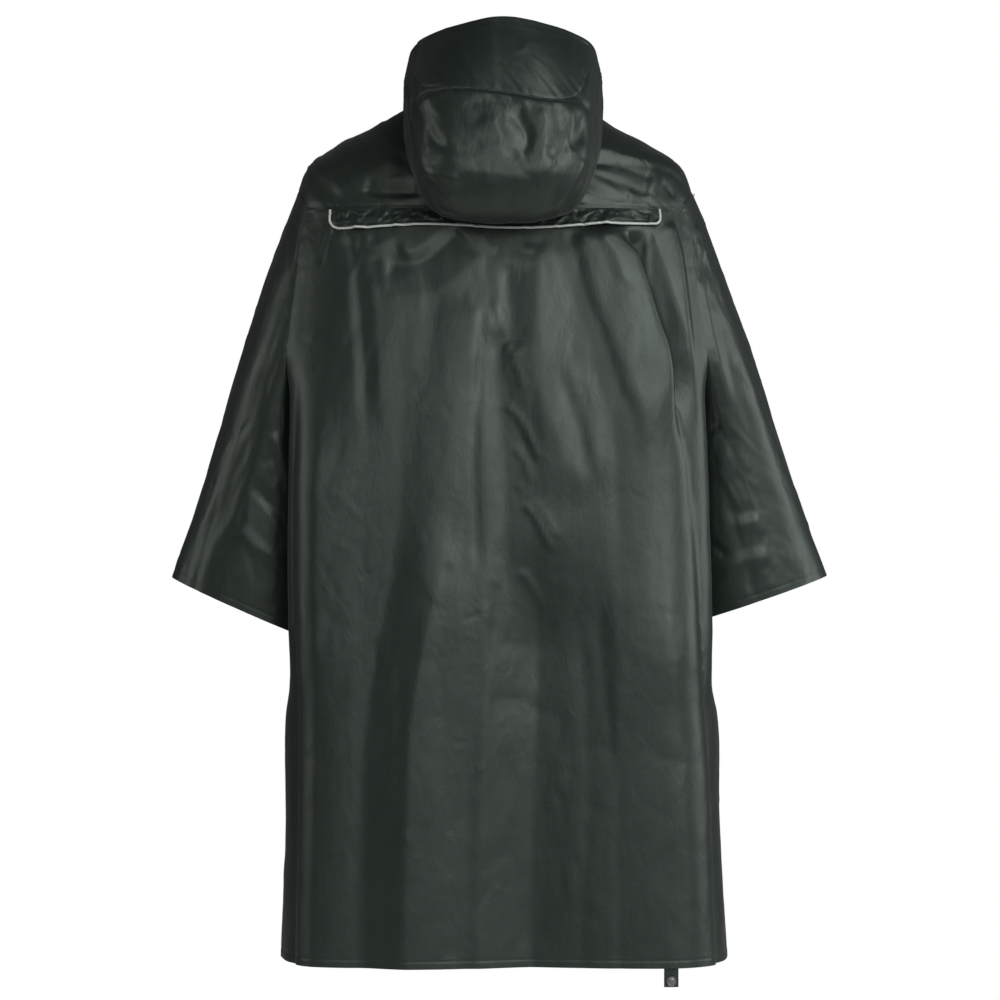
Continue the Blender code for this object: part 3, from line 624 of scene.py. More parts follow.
# %% Back folds
BACK_FOLDS = (
    # lap beside the right sleeve, the valley it hangs over and the roll beyond
    Fold(((-122, -138), (-136, -183), (-150, -216), (-163, -250), (-174, -290), (-184, -340),
          (-194, -395), (-204, -450), (-212, -540), (-218, -650)), 7, 60, 34, "plane round", (25, 170)),
    Fold(((-160, -145), (-167, -165), (-182, -212), (-196, -256), (-209, -294), (-217, -341),
          (-226, -388), (-231, -425)),
         -14, 13, 32, "soft plane", (22, 110)),
    Fold(((-214, -132), (-226, -180), (-232, -230), (-238, -290), (-243, -350)),
          4.5, 24, 11, "plane soft", (14, 90)),
    Fold(((-186, -148), (-188, -185), (-190, -222)), 2.4, 5, 6, "sharp sharp", (6, 25)),
    # tent of two bright planes below the hood, with a crease between them
    Fold(((22, -225), (38, -290), (52, -340), (67, -459), (78, -560), (84, -640)),
          4.5, 55, 32, "soft plane", (40, 100)),
    Fold(((20, -245), (25, -339), (31, -435), (27, -530), (24, -590)),
          -1.7, 10, 6, "plane sharp", (20, 40)),
    Fold(((2, -262), (3, -339), (-7, -435), (-11, -579), (-16, -650)),
          -5, 27, 52, "plane plane", (40, 110)),
    # dark wedge, slivers beside it and the knot at its foot
    Fold(((-9, -185), (-11, -240), (-12, -298)), -3, 14, 36, "plane plane", (20, 14)),
    Fold(((10, -238), (-1, -262), (-10, -303)), 1.6, 5, 6, "sharp sharp", (6, 6)),
    Fold(((-4, -236), (-9, -262), (-13, -300)), 1.4, 5, 5, "sharp sharp", (6, 6)),
    Fold(((-6, -302), (-14, -307), (-24, -300)), 1.6, 6, 7, "sharp sharp", (4, 4)),
    Fold(((-18, -312), (-25, -330), (-28, -352)), 1.4, 6, 6, "sharp sharp", (4, 8)),
    # wide plane right of the wedge
    Fold(((-51, -160), (-47, -230), (-42, -279), (-42, -322), (-60, -380), (-78, -430), (-86, -500)),
         4, 40, 50, "plane plane", (30, 60)),
    # short creases in the valley
    Fold(((-4, -366), (-26, -392), (-49, -441)), 1.6, 6, 11, "sharp plane", (8, 12)),
    Fold(((-14, -420), (-30, -440), (-40, -470)), 1.2, 6, 9, "sharp plane", (8, 10)),
    Fold(((-28, -492), (-46, -515), (-66, -556)), 1.9, 6, 11, "sharp plane", (8, 14)),
    Fold(((-40, -486), (-58, -512), (-72, -540)), 1.3, 5, 9, "sharp plane", (8, 12)),
    Fold(((-24, -576), (-40, -598), (-56, -628)), 1.7, 6, 10, "sharp plane", (8, 14)),
    # long planes down to the hem
    Fold(((62, -500), (86, -640), (106, -740), (115, -860), (117, -1072)),
          13, 60, 78, "plane plane", (150, 0)),
    Fold(((-40, -520), (-47, -640), (-46, -760), (-40, -900), (-39, -1072)),
          -19, 66, 100, "plane plane", (160, 0)),
    Fold(((-203, -470), (-206, -600), (-212, -700), (-224, -830), (-231, -1072)),
          21, 84, 46, "plane round", (230, 0)),
    Fold(((150, -640), (160, -760), (166, -900), (165, -1072)), -3, 26, 40, "plane plane", (90, 0)),
    # left side
    Fold(((182, -190), (176, -262), (171, -330), (166, -430)), -2.6, 11, 20, "plane plane", (30, 90)),
    Fold(((224, -300), (228, -500), (226, -760), (229, -1072)), 13, 34, 95, "round sharp", (180, 0)),
    # creases across the bright plane
    Fold(((49, -637), (36, -634), (21, -627)), -0.8, 8, 5, "sharp sharp", (8, 8)),
    Fold(((22, -741), (-6, -737), (-28, -741), (-50, -755)), -0.6, 34, 18, "plane plane", (22, 10)),
    # wedges that hang from the flap's left end
    Fold(((188, -150), (184, -170), (168, -181), (157, -184), (141, -178), (120, -167)),
          -3.2, 36, 16, "plane plane", (14, 12)),
    Fold(((150, -190), (122, -190), (98, -186), (76, -170), (51, -146)),
          -4.4, 42, 16, "plane plane", (16, 8)),
    Fold(((196, -143), (190, -160), (184, -180), (178, -215)), -1.8, 10, 14, "plane plane", (4, 26)),
    Fold(((214, -143), (222, -165), (228, -195)), -2, 7, 8, "plane sharp", (4, 22)),
    Fold(((176, -143), (172, -152), (162, -158)), 1.6, 5, 6, "sharp plane", (3, 6)),
    Fold(((26, -146), (20, -162), (6, -178)), 1.6, 7, 9, "sharp plane", (4, 10)),
    Fold(((-18, -146), (-26, -166), (-44, -178)), 1.6, 7, 9, "sharp plane", (4, 10)),
    # sawteeth that run down and right from the flap: a short dark rise, then a long bright fall
    Fold(((-102, -146), (-107, -176), (-114, -201), (-124, -236), (-136, -265), (-151, -309),
          (-162, -344), (-176, -380), (-188, -450)),
         3.2, 13, 34, "plane plane", (10, 90)),
    Fold(((-130, -146), (-134, -176), (-139, -196), (-152, -225)), 2.0, 9, 20, "plane plane", (8, 30)),
    Fold(((-84, -300), (-92, -340), (-106, -380), (-118, -430), (-126, -480)),
          2.4, 12, 30, "plane plane", (40, 50)),
    Fold(((-96, -330), (-104, -400), (-116, -470)), -2, 22, 16, "plane plane", (40, 50)),
)

LAP = (  # how far the lap's edge is carried sideways over its valley
    Fold(((-150, -150), (-156, -168), (-171, -212), (-185, -256), (-198, -294), (-206, -341),
          (-215, -388), (-220, -425)),
         14, 62, 12, "soft soft", (30, 110)),
)

# %% Back panel
SIDE_FADE = 0.022  # the folds die away over this distance from a panel's sides
UNDER_FLAP = 0.215  # nearer the middle than this, the folds begin lower, under the flap
back_z = steps_down(YOKE_Z, HEM_Z, 0.0040, fine_top=0.010, fine_foot=0.014)
back = panel_points(back_z, PANEL_COLUMNS, 0.0)
run = cloth_lengths(back)[0]
across = run - run[:, -1:] / 2
side_far = from_sides(run)
height_of = np.broadcast_to(back_z[:, None], across.shape)
top_far = YOKE_Z - height_of
hem_far = height_of - HEM_Z


def on_cloth(folds, grid):
    """A fold table whose places across are turned from metres sideways into metres of cloth."""
    moved = []
    for fold in folds:
        path = []
        for x, z in fold.path:
            r = int(np.abs(back_z - z * MM).argmin())
            flat = slice(12, -12)  # the outermost columns turn round the side
            path.append((np.interp(x * MM, grid[r, flat, 0], across[r, flat]) / MM, z))
        moved.append(fold._replace(path=path))
    return moved


def body_drape(folds, seed, under_flap):
    """How far a body panel's cloth stands off its plain shape."""
    lift = fold_heights(across, height_of, folds)
    lift += streaks(across, height_of, seed, 0.0006) * fade(top_far, 0.0, 0.10)
    lift += facets(across, height_of, seed + 4, 0.0013, 0.060, 0.20)
    lift += facets(across, height_of, seed + 5, 0.0005, 0.030, 0.060) * fade(top_far, 0.2, 0.6)
    lift += creases(across, height_of, seed + 1, 160, 0.050, 0.009, 0.0008)
    lift += creases(across, height_of, seed + 2, 90, 0.026, 0.007, 0.0007, lean=1.2)
    lift *= fade(side_far, 0.0, SIDE_FADE)
    covered = (np.abs(across) < UNDER_FLAP) & under_flap
    lift *= np.where(covered, fade(top_far, 0.012, 0.034), fade(top_far, 0.0, 0.012))
    gathers = 0.0009 if under_flap else 0.0011
    lift += puckers(across, top_far, seed + 9, gathers, reach=0.018, rise=0.004)
    beside_sleeve = fade(height_of, UNDERARM_Z, NOTCH_Z)
    lift += puckers(height_of, side_far, seed + 12, 0.0009, rise=0.004) * beside_sleeve
    turned_up = 0.0002 * (hem_far < HEM_STITCH)  # the hem is double below its stitches
    return lift - groove(hem_far, HEM_STITCH, 0.0003, 0.0012) + turned_up


back_lift = body_drape(on_cloth(BACK_FOLDS, back), 11, True)
back_points = back + outwards(back) * back_lift[..., None]
lapped = fold_heights(across, height_of, on_cloth(LAP, back))
back_points[..., 0] -= lapped * fade(side_far, 0.0, SIDE_FADE)
cloth("back_panel_cloth", back_points, shell, down=top_far)

# %% [markdown]
# ## Front panel
# The front has the same cut.  Nobody sees it in the usual view, but it hangs in the same way,
# so it has folds of its own, fewer and calmer than those of the back.

# %% Front panel
FRONT_FOLDS = (
    Fold(((-206, -150), (-200, -260), (-206, -420), (-222, -620)), 6, 26, 56, "round soft", (170, 200)),
    Fold(((-172, -150), (-168, -260), (-166, -420)), -3.5, 30, 24, "soft soft", (110, 150)),
    Fold(((-84, -130), (-108, -260), (-120, -420), (-110, -640), (-112, -1072)),
          -8, 66, 60, "plane plane", (330, 0)),
    Fold(((20, -130), (8, -300), (-4, -480), (-10, -760), (-8, -1072)), 8, 68, 66, "soft plane", (300, 0)),
    Fold(((102, -130), (98, -260), (112, -420), (120, -700), (124, -1072)),
          -9, 66, 60, "plane plane", (380, 0)),
    Fold(((188, -150), (192, -330), (206, -560), (212, -900)), 6, 44, 50, "soft plane", (220, 200)),
    Fold(((66, -124), (56, -190), (40, -270), (34, -340)), 1.8, 16, 26, "plane plane", (60, 70)),
    Fold(((-44, -124), (-54, -220), (-52, -330), (-44, -420)), -2, 22, 18, "plane plane", (80, 90)),
    Fold(((150, -124), (140, -190), (120, -250)), 1.6, 14, 20, "plane plane", (50, 50)),
)
front = panel_points(back_z, PANEL_COLUMNS, math.pi)
front_lift = body_drape(FRONT_FOLDS, 31, False)
front_points = front + outwards(front) * front_lift[..., None]
cloth("front_panel_cloth", front_points, shell, down=top_far)

# %% [markdown]
# ## Sleeves
# Each sleeve is an outer strip that runs from the yoke to the cuff, and an under piece that
# starts at the armhole.  Their seams are where the two grids meet.  The outer strip carries
# long shallow folds; the under piece has short oblique ones where the arm would bend.


# %% Sleeve points
UNDERARM_DIP = 0.067  # how much lower the under piece's middle starts, before the armhole shapes it
CUFF_TILT, CUFF_DROP = 0.30, 0.0075  # the left cuff is steeper and lower than the right one


def seam_turn(z):
    """The turn at each height where the outer strip ends and the under piece begins."""
    seam, inner, ridge = (column(SLEEVE, name, z) for name in ("seam_x", "inner_x", "ridge_x"))
    ratio = (seam - inner) / (ridge - seam)
    return np.arccos((ratio - 1) / (ratio + 1))


def seam_depth(z):
    """How far behind the middle the back seam lies: on the body, and then on the arm."""
    at_notch = SLEEVE[3]
    on_arm = NOTCH_DEPTH * column(SLEEVE, "seam_y", z) / at_notch.seam_y
    return np.where(z > NOTCH_Z, seam_on_body(z)[1], on_arm)


def sleeve_points(z, turn, side):
    """Points of a sleeve; turn 0 is the outer ridge and above 0 is behind it."""
    z = np.asarray(z, float)
    at_seam = seam_turn(z)
    outward = (np.cos(turn) - np.cos(at_seam)) / (1 - np.cos(at_seam))
    seam_x = column(SLEEVE, "seam_x", z)
    x = seam_x + (column(SLEEVE, "ridge_x", z) - seam_x) * outward
    y = seam_depth(z) * np.sin(turn) / np.sin(at_seam)
    higher = np.maximum(z, NOTCH_Z)
    thinner = column(BODY, "front", higher) / column(BODY, "back", higher)
    y = np.where((turn < 0) | (turn > math.pi), y * thinner, y)
    lift = column(SLEEVE, "lift", z)
    height = z + lift * outward
    if side > 0:
        down = np.clip((NOTCH_Z - z) / (NOTCH_Z - CUFF_Z), 0, 1)
        height = height + (lift * outward * CUFF_TILT - CUFF_DROP) * down
    return np.stack(np.broadcast_arrays(side * x + lean(height), y, height), axis=-1)


def outer_points(z, side):
    """The outer strip, from its back seam over the ridge to its front seam."""
    share = np.linspace(1, -1, OUTER_COLUMNS + 1)
    return sleeve_points(z[:, None], seam_turn(z)[:, None] * share[None, :], side)


def armhole_points(side):
    """The lower armhole from the notch behind, under the arm, to the notch in front."""
    share = np.linspace(0, 1, UNDER_COLUMNS // 2 + 1)
    z = NOTCH_Z + (UNDERARM_Z - NOTCH_Z) * (1 - (1 - share) ** ARMHOLE_CURVE)
    edge = edge_angle(z)
    edge[-1] = QUARTER
    behind = body_points(z, side * edge)
    before = body_points(z, math.pi - side * edge)
    return np.concatenate([behind, before[:-1][::-1]])


def under_points(z, side):
    """The under piece: its first rows follow the armhole and the rest the sleeve's own oval."""
    number = np.arange(UNDER_COLUMNS + 1)
    share = 1 - np.abs(2 * number / UNDER_COLUMNS - 1)
    along_arm = (NOTCH_Z - z) / (NOTCH_Z - CUFF_Z)
    place = z[:, None] - UNDERARM_DIP * (1 - (1 - share[None, :]) ** 2) * (1 - along_arm[:, None])
    at_seam = seam_turn(place)
    turn = at_seam + (math.pi - at_seam) * share[None, :]
    turn = np.where(number[None, :] * 2 <= UNDER_COLUMNS, turn, 2 * math.pi - turn)
    grid = sleeve_points(place, turn, side)
    change = armhole_points(side) - grid[0]
    change[:, 0] += side * 0.0011 * share  # it stays clear of the body under the arm
    settle = np.clip(1 - along_arm * 9 / 4, 0, 1) ** 2
    return grid + change[None] * settle[:, None, None]


# %% Sleeve folds
# Places are (distance outwards from the middle, height), for the sleeve as seen from behind.
SLEEVE_FOLDS = {
    ("left", "outer"): (
        Fold(((256, -122), (259, -150), (260, -205)), -3, 6, 12, "soft sharp", (6, 50)),
        Fold(((276, -170), (288, -230), (306, -300), (330, -390)), 2.2, 22, 18, "plane plane", (40, 80)),
        Fold(((290, -290), (312, -370), (344, -470), (376, -560)), -2, 18, 22, "plane plane", (50, 60)),
        Fold(((334, -390), (356, -460), (390, -545)), 1.8, 16, 18, "plane plane", (50, 40)),
    ),
    ("right", "outer"): (
        Fold(((-254, -150), (-260, -182), (-266, -226)), -2.6, 12, 6, "plane sharp", (8, 30)),
        Fold(((-260, -190), (-268, -240), (-280, -300), (-300, -390)),
              2.2, 14, 12, "sharp plane", (25, 80)),
        Fold(((-276, -240), (-292, -300), (-312, -360), (-340, -450)), -2, 18, 16, "plane plane", (40, 70)),
        Fold(((-304, -280), (-326, -350), (-356, -450), (-390, -545)), 2, 20, 20, "plane plane", (50, 50)),
        Fold(((-260, -136), (-268, -160), (-266, -185)), 2, 9, 9, "plane sharp", (6, 14)),
    ),
    ("left", "under"): (
        Fold(((266, -360), (256, -410), (252, -480)), -3, 9, 12, "plane plane", (15, 40)),
        Fold(((290, -400), (272, -446), (262, -505)), 2.6, 10, 16, "plane plane", (15, 40)),
        Fold(((326, -462), (298, -486), (266, -524)), -2.4, 10, 16, "plane plane", (15, 30)),
        Fold(((340, -520), (306, -552), (266, -575)), 2.2, 12, 14, "plane plane", (15, 30)),
    ),
    ("right", "under"): (
        Fold(((-286, -392), (-272, -402), (-262, -412)), -3.2, 9, 8, "plane sharp", (8, 10)),
        Fold(((-306, -404), (-288, -440), (-268, -470)), 2, 16, 22, "plane plane", (15, 25)),
        Fold(((-345, -512), (-322, -514), (-296, -526)), 1.6, 12, 20, "plane sharp", (10, 15)),
        Fold(((-340, -498), (-310, -504), (-285, -496)), -1.4, 16, 14, "plane plane", (12, 18)),
        Fold(((-264, -538), (-282, -552), (-296, -558)), -2.4, 9, 8, "sharp plane", (8, 14)),
        Fold(((-350, -560), (-312, -566), (-276, -590)), 2, 14, 14, "plane plane", (15, 30)),
    ),
}


# %% Sleeves
NEXT_TO_BODY = 0.262  # nearer the middle than this, the under piece faces the body
sleeve_cloth = {}


def sleeve_piece(word, part, grid, seed):
    """Drapes a sleeve piece, makes its cloth, and keeps its points for the cuff's stitches."""
    side = 1 if word == "left" else -1
    facing = side if part == "outer" else -side
    other = "right" if word == "left" else "left"
    x, y, z = grid[..., 0], grid[..., 1], grid[..., 2]
    place = x - lean(z)
    behind = fade(y, -0.01, 0.02)
    lift = fold_heights(place, z, SLEEVE_FOLDS[word, part]) * behind
    lift += fold_heights(-place, z, SLEEVE_FOLDS[other, part]) * (1 - behind)
    run, drop = cloth_lengths(grid)
    side_far = from_sides(run)
    run = run + 0.5 * (side > 0)  # the left sleeve takes another stretch of the noise
    lift += facets(run + 0.4 * place, z, seed + 3, 0.0015, 0.050, 0.14)
    lift += creases(run, z, seed + 1, 100, 0.055, 0.010, 0.0010, lean=0.5)
    lift += creases(run, z, seed + 2, 120, 0.022, 0.006, 0.0006, lean=1.2)
    lift *= fade(side_far, 0.0, 0.012) * fade(drop, 0.0, 0.010)
    lift += puckers(z, side_far, seed + 4, 0.0008, reach=0.010)
    lift -= groove(drop[-1] - drop, HEM_STITCH, 0.0003, 0.0012)
    if part == "under":
        lift = np.where(np.abs(place) < NEXT_TO_BODY, np.clip(lift, -0.003, 0.003), lift)
    points = grid + outwards(grid) * facing * lift[..., None]
    cloth(f"sleeve_{word}_{part}_cloth", points, shell, flip=facing < 0)
    sleeve_cloth[word, part] = points, facing


outer_z = steps_down(YOKE_Z, CUFF_Z, 0.0042, fine_top=0.006, fine_foot=0.012)
under_z = steps_down(NOTCH_Z, CUFF_Z, 0.0042, fine_foot=0.012)
for word, side, seed in (("left", 1, 51), ("right", -1, 71)):
    sleeve_piece(word, "outer", outer_points(outer_z, side), seed)
    sleeve_piece(word, "under", under_points(under_z, side), seed + 7)

# %% [markdown]
# ## Yoke
# The yoke is a saddle over both shoulders.  It is a closed strip from the neck hole down to
# the seam that all four pieces below it share, so its last ring is made of their first rows.
# Rings of a boxy oval carry it from the round neck to the square shoulders.

# %% Yoke rings
Ring = namedtuple("Ring", "width back front boxiness side_z back_z front_z lean")
NECK = Ring(0.100, 0.078, 0.103, 2.0, 0.030, 0.018, -0.045, 0.0)
RINGS = (
    NECK,
    Ring(0.150, 0.098, 0.118, 2.2, 0.000, -0.024, -0.064, 1.0),
    Ring(0.205, 0.111, 0.121, 2.5, -0.029, -0.060, -0.086, 1.0),
    Ring(0.240, 0.116, 0.121, 2.7, -0.054, -0.092, -0.105, 1.0),
)


def ring_points(ring, angle):
    """Points of one ring, which sinks from its sides to its middles."""
    behind = np.cos(angle) >= 0
    x, y = oval(angle, ring.width, np.where(behind, ring.back, ring.front), ring.boxiness)
    end_z = np.where(behind, ring.back_z, ring.front_z)
    z = ring.side_z + (end_z - ring.side_z) * np.cos(angle) ** 2
    return np.stack([x + ring.lean * lean(z), y, z], axis=-1)


def between(rings, places):
    """Points on the smooth curves through rings of points; places count rings, (rows, columns)."""
    knots = np.arange(len(rings))
    shares = np.stack([along(knots, one, places) for one in np.eye(len(rings))])
    return np.einsum("krn,kna->rna", shares, np.stack(rings))


seam_z = np.array([YOKE_Z])
around = (
    panel_points(seam_z, PANEL_COLUMNS, 0.0)[0],
    outer_points(seam_z, 1)[0],
    panel_points(seam_z, PANEL_COLUMNS, math.pi)[0],
    outer_points(seam_z, -1)[0][::-1],
)
seam_ring = np.concatenate([piece[1:] for piece in around])
front_middle = PANEL_COLUMNS + OUTER_COLUMNS + PANEL_COLUMNS // 2
seam_ring = np.roll(seam_ring, -front_middle, axis=0)
seam_ring = np.concatenate([seam_ring, seam_ring[:1]])
last = RINGS[-1]
seam_angle = np.arctan2(
    (seam_ring[:, 0] - lean(seam_ring[:, 2])) / last.width,
    seam_ring[:, 1] / np.where(seam_ring[:, 1] >= 0, last.back, last.front),
)
yoke_places = np.concatenate([np.linspace(0, 3.8, 42), np.linspace(3.8, 4, 6)[1:]])
yoke = between([ring_points(ring, seam_angle) for ring in RINGS] + [seam_ring],
               np.repeat(yoke_places[:, None], len(seam_ring), axis=1))
print("yoke seam round:", round(float(run_along(seam_ring)[-1]), 3), "m")

# %% Yoke
YOKE_FOLDS = (
    Fold(((176, -93), (150, -100), (98, -101)), -4, 7, 20, "sharp plane", (10, 10)),
    Fold(((-98, -92), (-118, -100), (-138, -106), (-166, -108)), -2.6, 5, 14, "sharp plane", (8, 8)),
    Fold(((-160, -99), (-180, -104), (-204, -107)), 1.8, 6, 9, "sharp plane", (6, 6)),
    Fold(((-208, -80), (-215, -90), (-221, -101)), -2.4, 8, 7, "plane sharp", (5, 5)),
    Fold(((-96, -54), (-150, -62), (-200, -78)), -6, 42, 16, "plane plane", (10, 14)),
    Fold(((130, -55), (175, -76), (212, -98)), 1.5, 18, 16, "plane plane", (20, 15)),
)
yoke_run, yoke_drop = cloth_lengths(yoke)
foot_far = yoke_drop[-1] - yoke_drop
lift = fold_heights(yoke[..., 0], yoke[..., 2], YOKE_FOLDS) * fade(yoke[..., 1], 0.0, 0.04)
lift += facets(yoke_run, yoke_drop, 91, 0.0020, 0.070, 0.050)
lift += creases(yoke_run, -yoke_drop, 93, 110, 0.050, 0.009, 0.0011, lean=0.9)
lift += creases(yoke_run, -yoke_drop, 94, 220, 0.020, 0.006, 0.0008, lean=1.2)
lift *= fade(foot_far, 0.0, 0.014) * fade(yoke_drop, 0.0, 0.020) * ring_ends(yoke_run)
lift += puckers(yoke_run, foot_far, 95, 0.0010)
lift -= groove(foot_far, SEAM_STITCH, 0.0006, 0.0010)
lift[:, -1] = lift[:, 0]
yoke_points = yoke + outwards(yoke, ring=True) * lift[..., None]
cloth("yoke_cloth", yoke_points, shell, ring=True)

# %% [markdown]
# ## Hood
# The hood has fallen open behind the neck.  Upright ribs describe it all round: out from the
# neck, down to its lowest point, out and up over the bulge, in to the brim seam, and up to the
# edge.  The bag is the crumpled part and the brim is the smooth band along the edge.  The two
# meet along a seam that dips on the right, because the brim is twisted there.

# %% Hood ribs
Rib = namedtuple("Rib", "angle nape nape_z low low_z bulge bulge_z seam seam_z edge edge_z")
HOOD_X, HOOD_Y = -0.004, 0.030
HOOD = (
    Rib(0, 0.090, -0.018, 0.138, -0.142, 0.187, -0.084, 0.148, 0.038, 0.104, 0.1215),
    Rib(30, 0.096, -0.014, 0.150, -0.130, 0.192, -0.074, 0.155, 0.040, 0.112, 0.1125),
    Rib(45, 0.101, 0.002, 0.145, -0.092, 0.165, -0.046, 0.150, 0.043, 0.118, 0.1065),
    Rib(60, 0.108, 0.022, 0.140, -0.046, 0.144, -0.008, 0.139, 0.046, 0.127, 0.0955),
    Rib(90, 0.107, 0.048, 0.117, 0.048, 0.124, 0.056, 0.124, 0.063, 0.121, 0.073),
    Rib(135, 0.124, 0.020, 0.129, 0.026, 0.132, 0.034, 0.131, 0.044, 0.128, 0.058),
    Rib(180, 0.136, -0.036, 0.140, -0.028, 0.143, -0.014, 0.143, 0.004, 0.140, 0.022),
)
HOOD = (HOOD[1]._replace(angle=-30),) + HOOD  # a rib past the middle keeps the curve level there
Seam = namedtuple("Seam", "angle place")  # where the brim seam lies on the rib; 4 is its usual place
BRIM_SEAM = (
    Seam(-180, 4.00), Seam(-100, 4.06), Seam(-66, 4.20), Seam(-50, 4.16), Seam(-39, 3.84),
    Seam(-26, 3.74), Seam(-3, 3.83), Seam(17, 3.88), Seam(52, 3.87), Seam(90, 3.95), Seam(180, 4.00),
)
HOOD_COLUMNS, BAG_ROWS, BRIM_ROWS = 320, 104, 38
spread = np.linspace(-math.pi, math.pi, HOOD_COLUMNS + 1)
hood_angle = spread - 0.4 * np.sin(spread)  # closer columns behind, where the hood is seen
turn = np.degrees(np.abs(hood_angle))
ribs = [ring_points(NECK, hood_angle)]
for part in ("nape", "low", "bulge", "seam", "edge"):
    out, z = column(HOOD, part, turn), column(HOOD, part + "_z", turn)
    ribs.append(np.stack([HOOD_X + out * np.sin(hood_angle), HOOD_Y + out * np.cos(hood_angle), z], axis=1))
seam_place = column(BRIM_SEAM, "place", np.degrees(hood_angle))


def hood_part(start, end, rows):
    """Rows of the hood between two lines that run round it, and each point's place."""
    share = np.linspace(0, 1, rows + 1)[:, None]
    places = start + (end - start) * share
    return between(ribs, places), places


# %% Hood bag
HOOD_FOLDS = (
    # the bag puffs out just below the brim seam
    Fold(((116, -14), (74, 6), (30, 12), (-20, 6), (-62, -2), (-92, -8), (-116, -24)),
          14, 88, 30, "plane soft", (44, 50)),
    # pleats below the brim seam
    Fold(((-88, 20), (-95, 9), (-110, -2), (-125, -9)), -4, 7, 10, "sharp plane", (5, 10)),
    Fold(((116, 4), (95, 12), (74, 21), (47, 26)), 1.8, 8, 6, "plane sharp", (6, 10)),
    Fold(((114, -8), (94, 0), (76, 10), (52, 18)), 2.4, 8, 5, "plane sharp", (6, 10)),
    Fold(((47, -8), (24, -1), (0, 3), (-40, 6), (-63, 7), (-77, 15)), -1.3, 6, 6, "plane sharp", (12, 8)),
    # bumps and the valley between them
    Fold(((-18, -6), (-27, -24), (-34, -41), (-29, -62)), -3.4, 16, 10, "plane plane", (10, 10)),
    Fold(((22, -14), (8, -30), (0, -46), (6, -66)), 2.2, 34, 18, "plane plane", (14, 14)),
    Fold(((-50, -4), (-55, -24), (-55, -46), (-48, -66)), 2.2, 18, 14, "plane plane", (12, 12)),
    Fold(((-71, -20), (-72, -38), (-68, -52), (-55, -68)), -2.2, 9, 14, "plane plane", (6, 10)),
    Fold(((-80, -4), (-88, -24), (-84, -46), (-90, -66)), 2.4, 8, 10, "plane sharp", (8, 8)),
    Fold(((-97, -10), (-101, -30), (-98, -50)), -1.5, 9, 8, "plane sharp", (8, 8)),
    Fold(((72, -4), (78, -30), (84, -58)), -1.0, 34, 44, "plane plane", (14, 14)),
    Fold(((100, -28), (93, -42), (85, -58)), 1.4, 9, 12, "sharp plane", (6, 8)),
    Fold(((86, -22), (82, -38), (73, -52)), -0.8, 9, 9, "sharp plane", (6, 8)),
    # where the bulge turns under
    Fold(((82, -58), (56, -72), (29, -80), (-12, -88), (-50, -88), (-80, -80), (-104, -62)),
          2.2, 24, 34, "plane soft", (16, 14)),
    Fold(((98, -78), (74, -87), (48, -97)), 2.2, 7, 9, "sharp plane", (8, 10)),
    Fold(((93, -86), (74, -101), (54, -122)), 2.0, 7, 8, "sharp plane", (8, 12)),
    Fold(((-70, -92), (-66, -110), (-58, -126)), -2.4, 7, 9, "sharp plane", (6, 8)),
    Fold(((-104, -66), (-92, -92), (-80, -114), (-68, -134)), 2.2, 8, 7, "plane sharp", (6, 8)),
)
bag, bag_places = hood_part(0.0, seam_place[None, :], BAG_ROWS)
bag_run, bag_drop = cloth_lengths(bag)
seam_far = bag_drop[-1] - bag_drop
outer = fade(bag_places, 1.85, 2.25) * fade(bag[..., 1], 0.02, 0.08)
behind = fade(bag[..., 1], -0.03, 0.05)  # the collar in front is nearly smooth
crumple = facets(bag_run, bag_drop, 110, 0.0022, 0.056, 0.046)
crumple += creases(bag_run, bag_drop, 111, 130, 0.036, 0.009, 0.0012, lean=1.2)
crumple += creases(bag_run, bag_drop, 112, 240, 0.018, 0.006, 0.0007, lean=1.4)
lift = fold_heights(bag[..., 0], bag[..., 2], HOOD_FOLDS) * outer
lift += crumple * (0.06 + 0.29 * behind + 0.65 * outer)
lift *= fade(seam_far, 0.0, 0.012) * fade(bag_drop, 0.0, 0.020)
gathers = puckers(bag_run, seam_far, 113, 0.0022, size=0.008, reach=0.018)
lift += gathers * (0.15 + 0.85 * behind)
bag_points = bag - outwards(bag, ring=True) * (lift * ring_ends(bag_run))[..., None]
cloth("hood_bag_cloth", bag_points, crumpled_shell, ring=True, flip=True)

# %% Hood brim
BRIM_FOLDS = (
    Fold(((108, 104), (107, 80), (108, 58), (110, 36)), -2.0, 9, 5, "plane sharp", (10, 6)),
    Fold(((12, 134), (10, 84), (6, 10)), 6, 66, 62, "plane plane", (6, 0)),
    Fold(((-44, 130), (-46, 84), (-48, 20)), 5, 46, 52, "plane plane", (6, 0)),
    Fold(((64, 92), (74, 72), (78, 50)), 1.2, 18, 22, "plane plane", (10, 10)),
    Fold(((-92, 96), (-88, 70), (-92, 34)), 1.4, 14, 14, "plane sharp", (12, 8)),
)
TUCK = 0.06  # how far the brim is sewn in behind the bag, as a share of its ribs
brim, brim_places = hood_part(seam_place[None, :] - TUCK, 5.0, BRIM_ROWS)
past_seam = brim_places - seam_place[None, :]
brim_run, brim_drop = cloth_lengths(brim)
edge_far = brim_drop[-1] - brim_drop
outer = fade(brim[..., 1], 0.02, 0.08)
lift = fold_heights(brim[..., 0], brim[..., 2], BRIM_FOLDS) * outer * np.clip(past_seam / 0.8, 0, 1)
lift += creases(brim_run, brim_drop, 121, 90, 0.040, 0.009, 0.0010, lean=0.7)
lift *= fade(past_seam, 0.0, 0.15)
seam_run = past_seam * 0.08  # roughly metres from the seam, at the hood's back
lift += puckers(brim_run, seam_run, 123, 0.0020, size=0.007, rise=0.0032)
lift *= 0.15 + 0.85 * fade(brim[..., 1], -0.03, 0.05)
lift -= 0.0017 * (1 - fade(past_seam, -0.02, 0.015))
